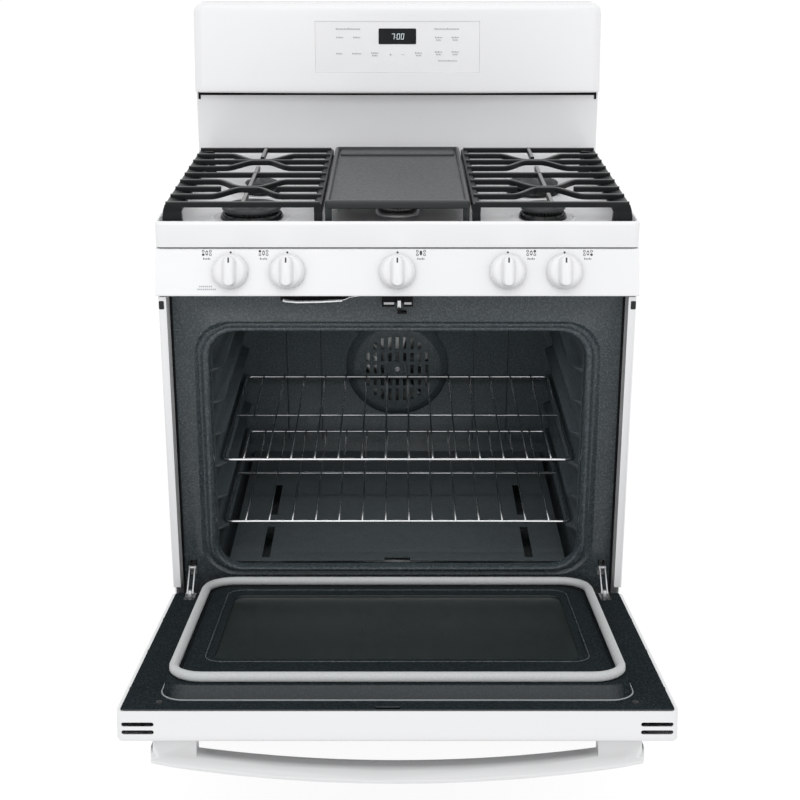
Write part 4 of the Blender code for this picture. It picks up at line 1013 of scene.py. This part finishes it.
def latch_lever():
    """The silver rod that works the door lock, in front of its slot drawn as a dark sheet of painted shade,
    and the lock's own trim.
    """
    path = [(-0.1825, 0.7905), (-0.1780, 0.7886), (-0.1600, 0.7870), (-0.1250, 0.7876), (-0.0878, 0.7897),
            (-0.0830, 0.7908), (-0.0761, 0.7946), (-0.0459, 0.7992), (-0.0260, 0.8000)]
    rod = tube([(x, front(0.0085), z) for x, z in path[:5]], 0.0033, 12)
    tube([(x, front(0.0085), z + 0.0008) for x, z in path[4:]], 0.0012, 8, into=rod)
    piece("latch_rod", rod, "chrome", "range_body", angle=80)
    slot = [(-0.1875, 0.7960), (-0.1868, 0.7885), (-0.1830, 0.7858), (-0.1600, 0.7843), (-0.1250, 0.7848),
            (-0.0870, 0.7868), (-0.0780, 0.7915), (-0.0600, 0.7965), (-0.0600, 0.8022), (-0.1500, 0.8022)]
    # painted shade: a dark sheet fills the slot behind the rod
    dark = loft([[(x, front(depth), z) for x, z in slot] for depth in (0.0172, 0.0179)])
    piece("latch_slot_painted_shade", dark, "black_and_painted_shade", "range_body")
    strips = bmesh.new()
    for x0, x1 in ((-0.0215, -0.0050), (0.0110, 0.0225)):
        box((x0, front(-0.0018), 0.7862), (x1, front(-0.0008), 0.7900), strips)
    piece("latch_strips", strips, "steel", "range_body", 0.0003)
    tip = box((-0.0001, front(-0.0046), 0.7715), (0.0061, front(0.0100), 0.7790))
    box((0.0062, front(-0.0040), 0.7715), (0.0150, front(0.0060), 0.7745), tip)
    piece("latch_tip", tip, "black_and_painted_shade", "latch", 0.0005)
    cover = box((-0.0030, front(-0.0016), 0.7925), (0.0090, front(-0.0008), 0.8040))
    piece("latch_cover", cover, "black_and_painted_shade", "range_body", 0.0002)


def trim_gaps():
    """Painted shade beside the front frame and under the console, and the trims' small black catches."""
    for side in (-1, 1):
        inner, outer = sorted((side * 0.3606, side * 0.3644))
        # painted shade: a dark strip where the frame's edge turns back beside the trim
        gap_shade = box((inner, front(0.0168), 0.2630), (outer, front(0.0179), 0.8015))
        name = "left" if side < 0 else "right"
        piece(f"frame_gap_painted_shade_{name}", gap_shade, "black_and_painted_shade", "range_body")
        outline = [(side * 0.3722 + x, 0.7895 + z) for x, z in rounded(0.0040, 0.0068, 0.0015, 3)]
        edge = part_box(f"side_panel_{name}")[0].y
        catch = loft([[(x, edge + lift, z) for x, z in outline] for lift in (-0.0006, 0.0004)])
        piece(f"trim_catch_{name}", catch, "black", "range_body", 0.0002)
        low, high = sorted((side * 0.3722, side * 0.3765))
        # painted shade: a small dark patch under each end of the console
        end_shade = box((low, front(0.5492), 1.0240), (high, front(0.5499), 1.0330))
        piece(f"console_end_painted_shade_{name}", end_shade, "black_and_painted_shade", "range_body")
    # painted shade: a dark strip along the backsplash's top, under the console
    joint_shade = box((-0.3765, front(0.5492), 1.0315), (0.3765, front(0.5499), 1.0394))
    piece("console_joint_painted_shade", joint_shade, "black_and_painted_shade", "range_body")


def build():
    carried_over()
    burners()
    deck_relief()
    grate("grate_left", -1)
    grate("grate_right", 1)
    knobs()
    simmer_marks()
    console_body()
    console_print()
    cavity_relief()
    door_relief()
    rear_details()
    latch_lever()
    trim_gaps()


# Stage ----------------------------------------------------------------------------------------


def floor():
    shape = bmesh.new()
    for x, y in ((-30, -30), (30, -30), (30, 30), (-30, 30)):
        shape.verts.new((x, y, 0))
    shape.faces.new(shape.verts)
    mesh = bpy.data.meshes.new("floor")
    shape.to_mesh(mesh)
    shape.free()
    obj = bpy.data.objects.new("floor", mesh)
    bpy.context.scene.collection.objects.link(obj)
    made = Surface("pale_floor", (0.15, 0.15, 0.15), 0.6, specular=0.0)
    made.link(made.mixed(made.noise(3.0), (0.145, 0.145, 0.145), (0.155, 0.155, 0.155)), "Base Color")
    made.set("Emission Color", (1.0, 1.0, 1.0, 1.0))
    made.set("Emission Strength", 0.87)
    obj.data.materials.append(made.material)


def light(name, place, target, size, power):
    data = bpy.data.lights.new(name, "AREA")
    data.energy = power
    data.shape = "RECTANGLE"
    data.size, data.size_y = size
    obj = bpy.data.objects.new(name, data)
    bpy.context.scene.collection.objects.link(obj)
    obj.location = place
    obj.rotation_euler = (Vector(target) - Vector(place)).to_track_quat("-Z", "Y").to_euler()
    obj.visible_camera = False
    return obj


def studio():
    world = bpy.data.worlds.new("studio")
    bpy.context.scene.world = world
    world.use_nodes = True
    background = world.node_tree.nodes["Background"]
    background.inputs["Color"].default_value = (1.0, 1.0, 1.0, 1.0)
    background.inputs["Strength"].default_value = 1.02
    light("key", (-1.2, -2.8, 1.9), (0, 0.4, 1.1), (2.0, 1.4), 10)
    light("fill", (1.6, -2.8, 1.7), (0, 0.4, 1.0), (1.5, 1.5), 6)
    light("top", (0, -0.3, 3.4), (0, 0.3, 0.9), (2.2, 1.6), 8)
    light("cooktop", (0, -1.0, 2.0), (0, front(0.55), 1.02), (1.4, 0.4), 4)
    lamp = light("oven_lamp", (0, front(0.10), 0.722), (0, front(0.42), 0.40), (0.3, 0.06), 1.2)
    lamp.visible_glossy = False
    bpy.context.scene.view_settings.view_transform = "Standard"


def camera():
    data = bpy.data.cameras.new("camera")
    data.lens = 66.0
    data.sensor_width = 36.0
    data.shift_x = 0.0033
    data.shift_y = -0.085
    obj = bpy.data.objects.new("camera", data)
    bpy.context.scene.collection.objects.link(obj)
    obj.location = (0.0, -2.272, 1.470)
    obj.rotation_euler = (radians(90 - 18.15), 0, 0)
    bpy.context.scene.camera = obj


build()
floor()
studio()
camera()
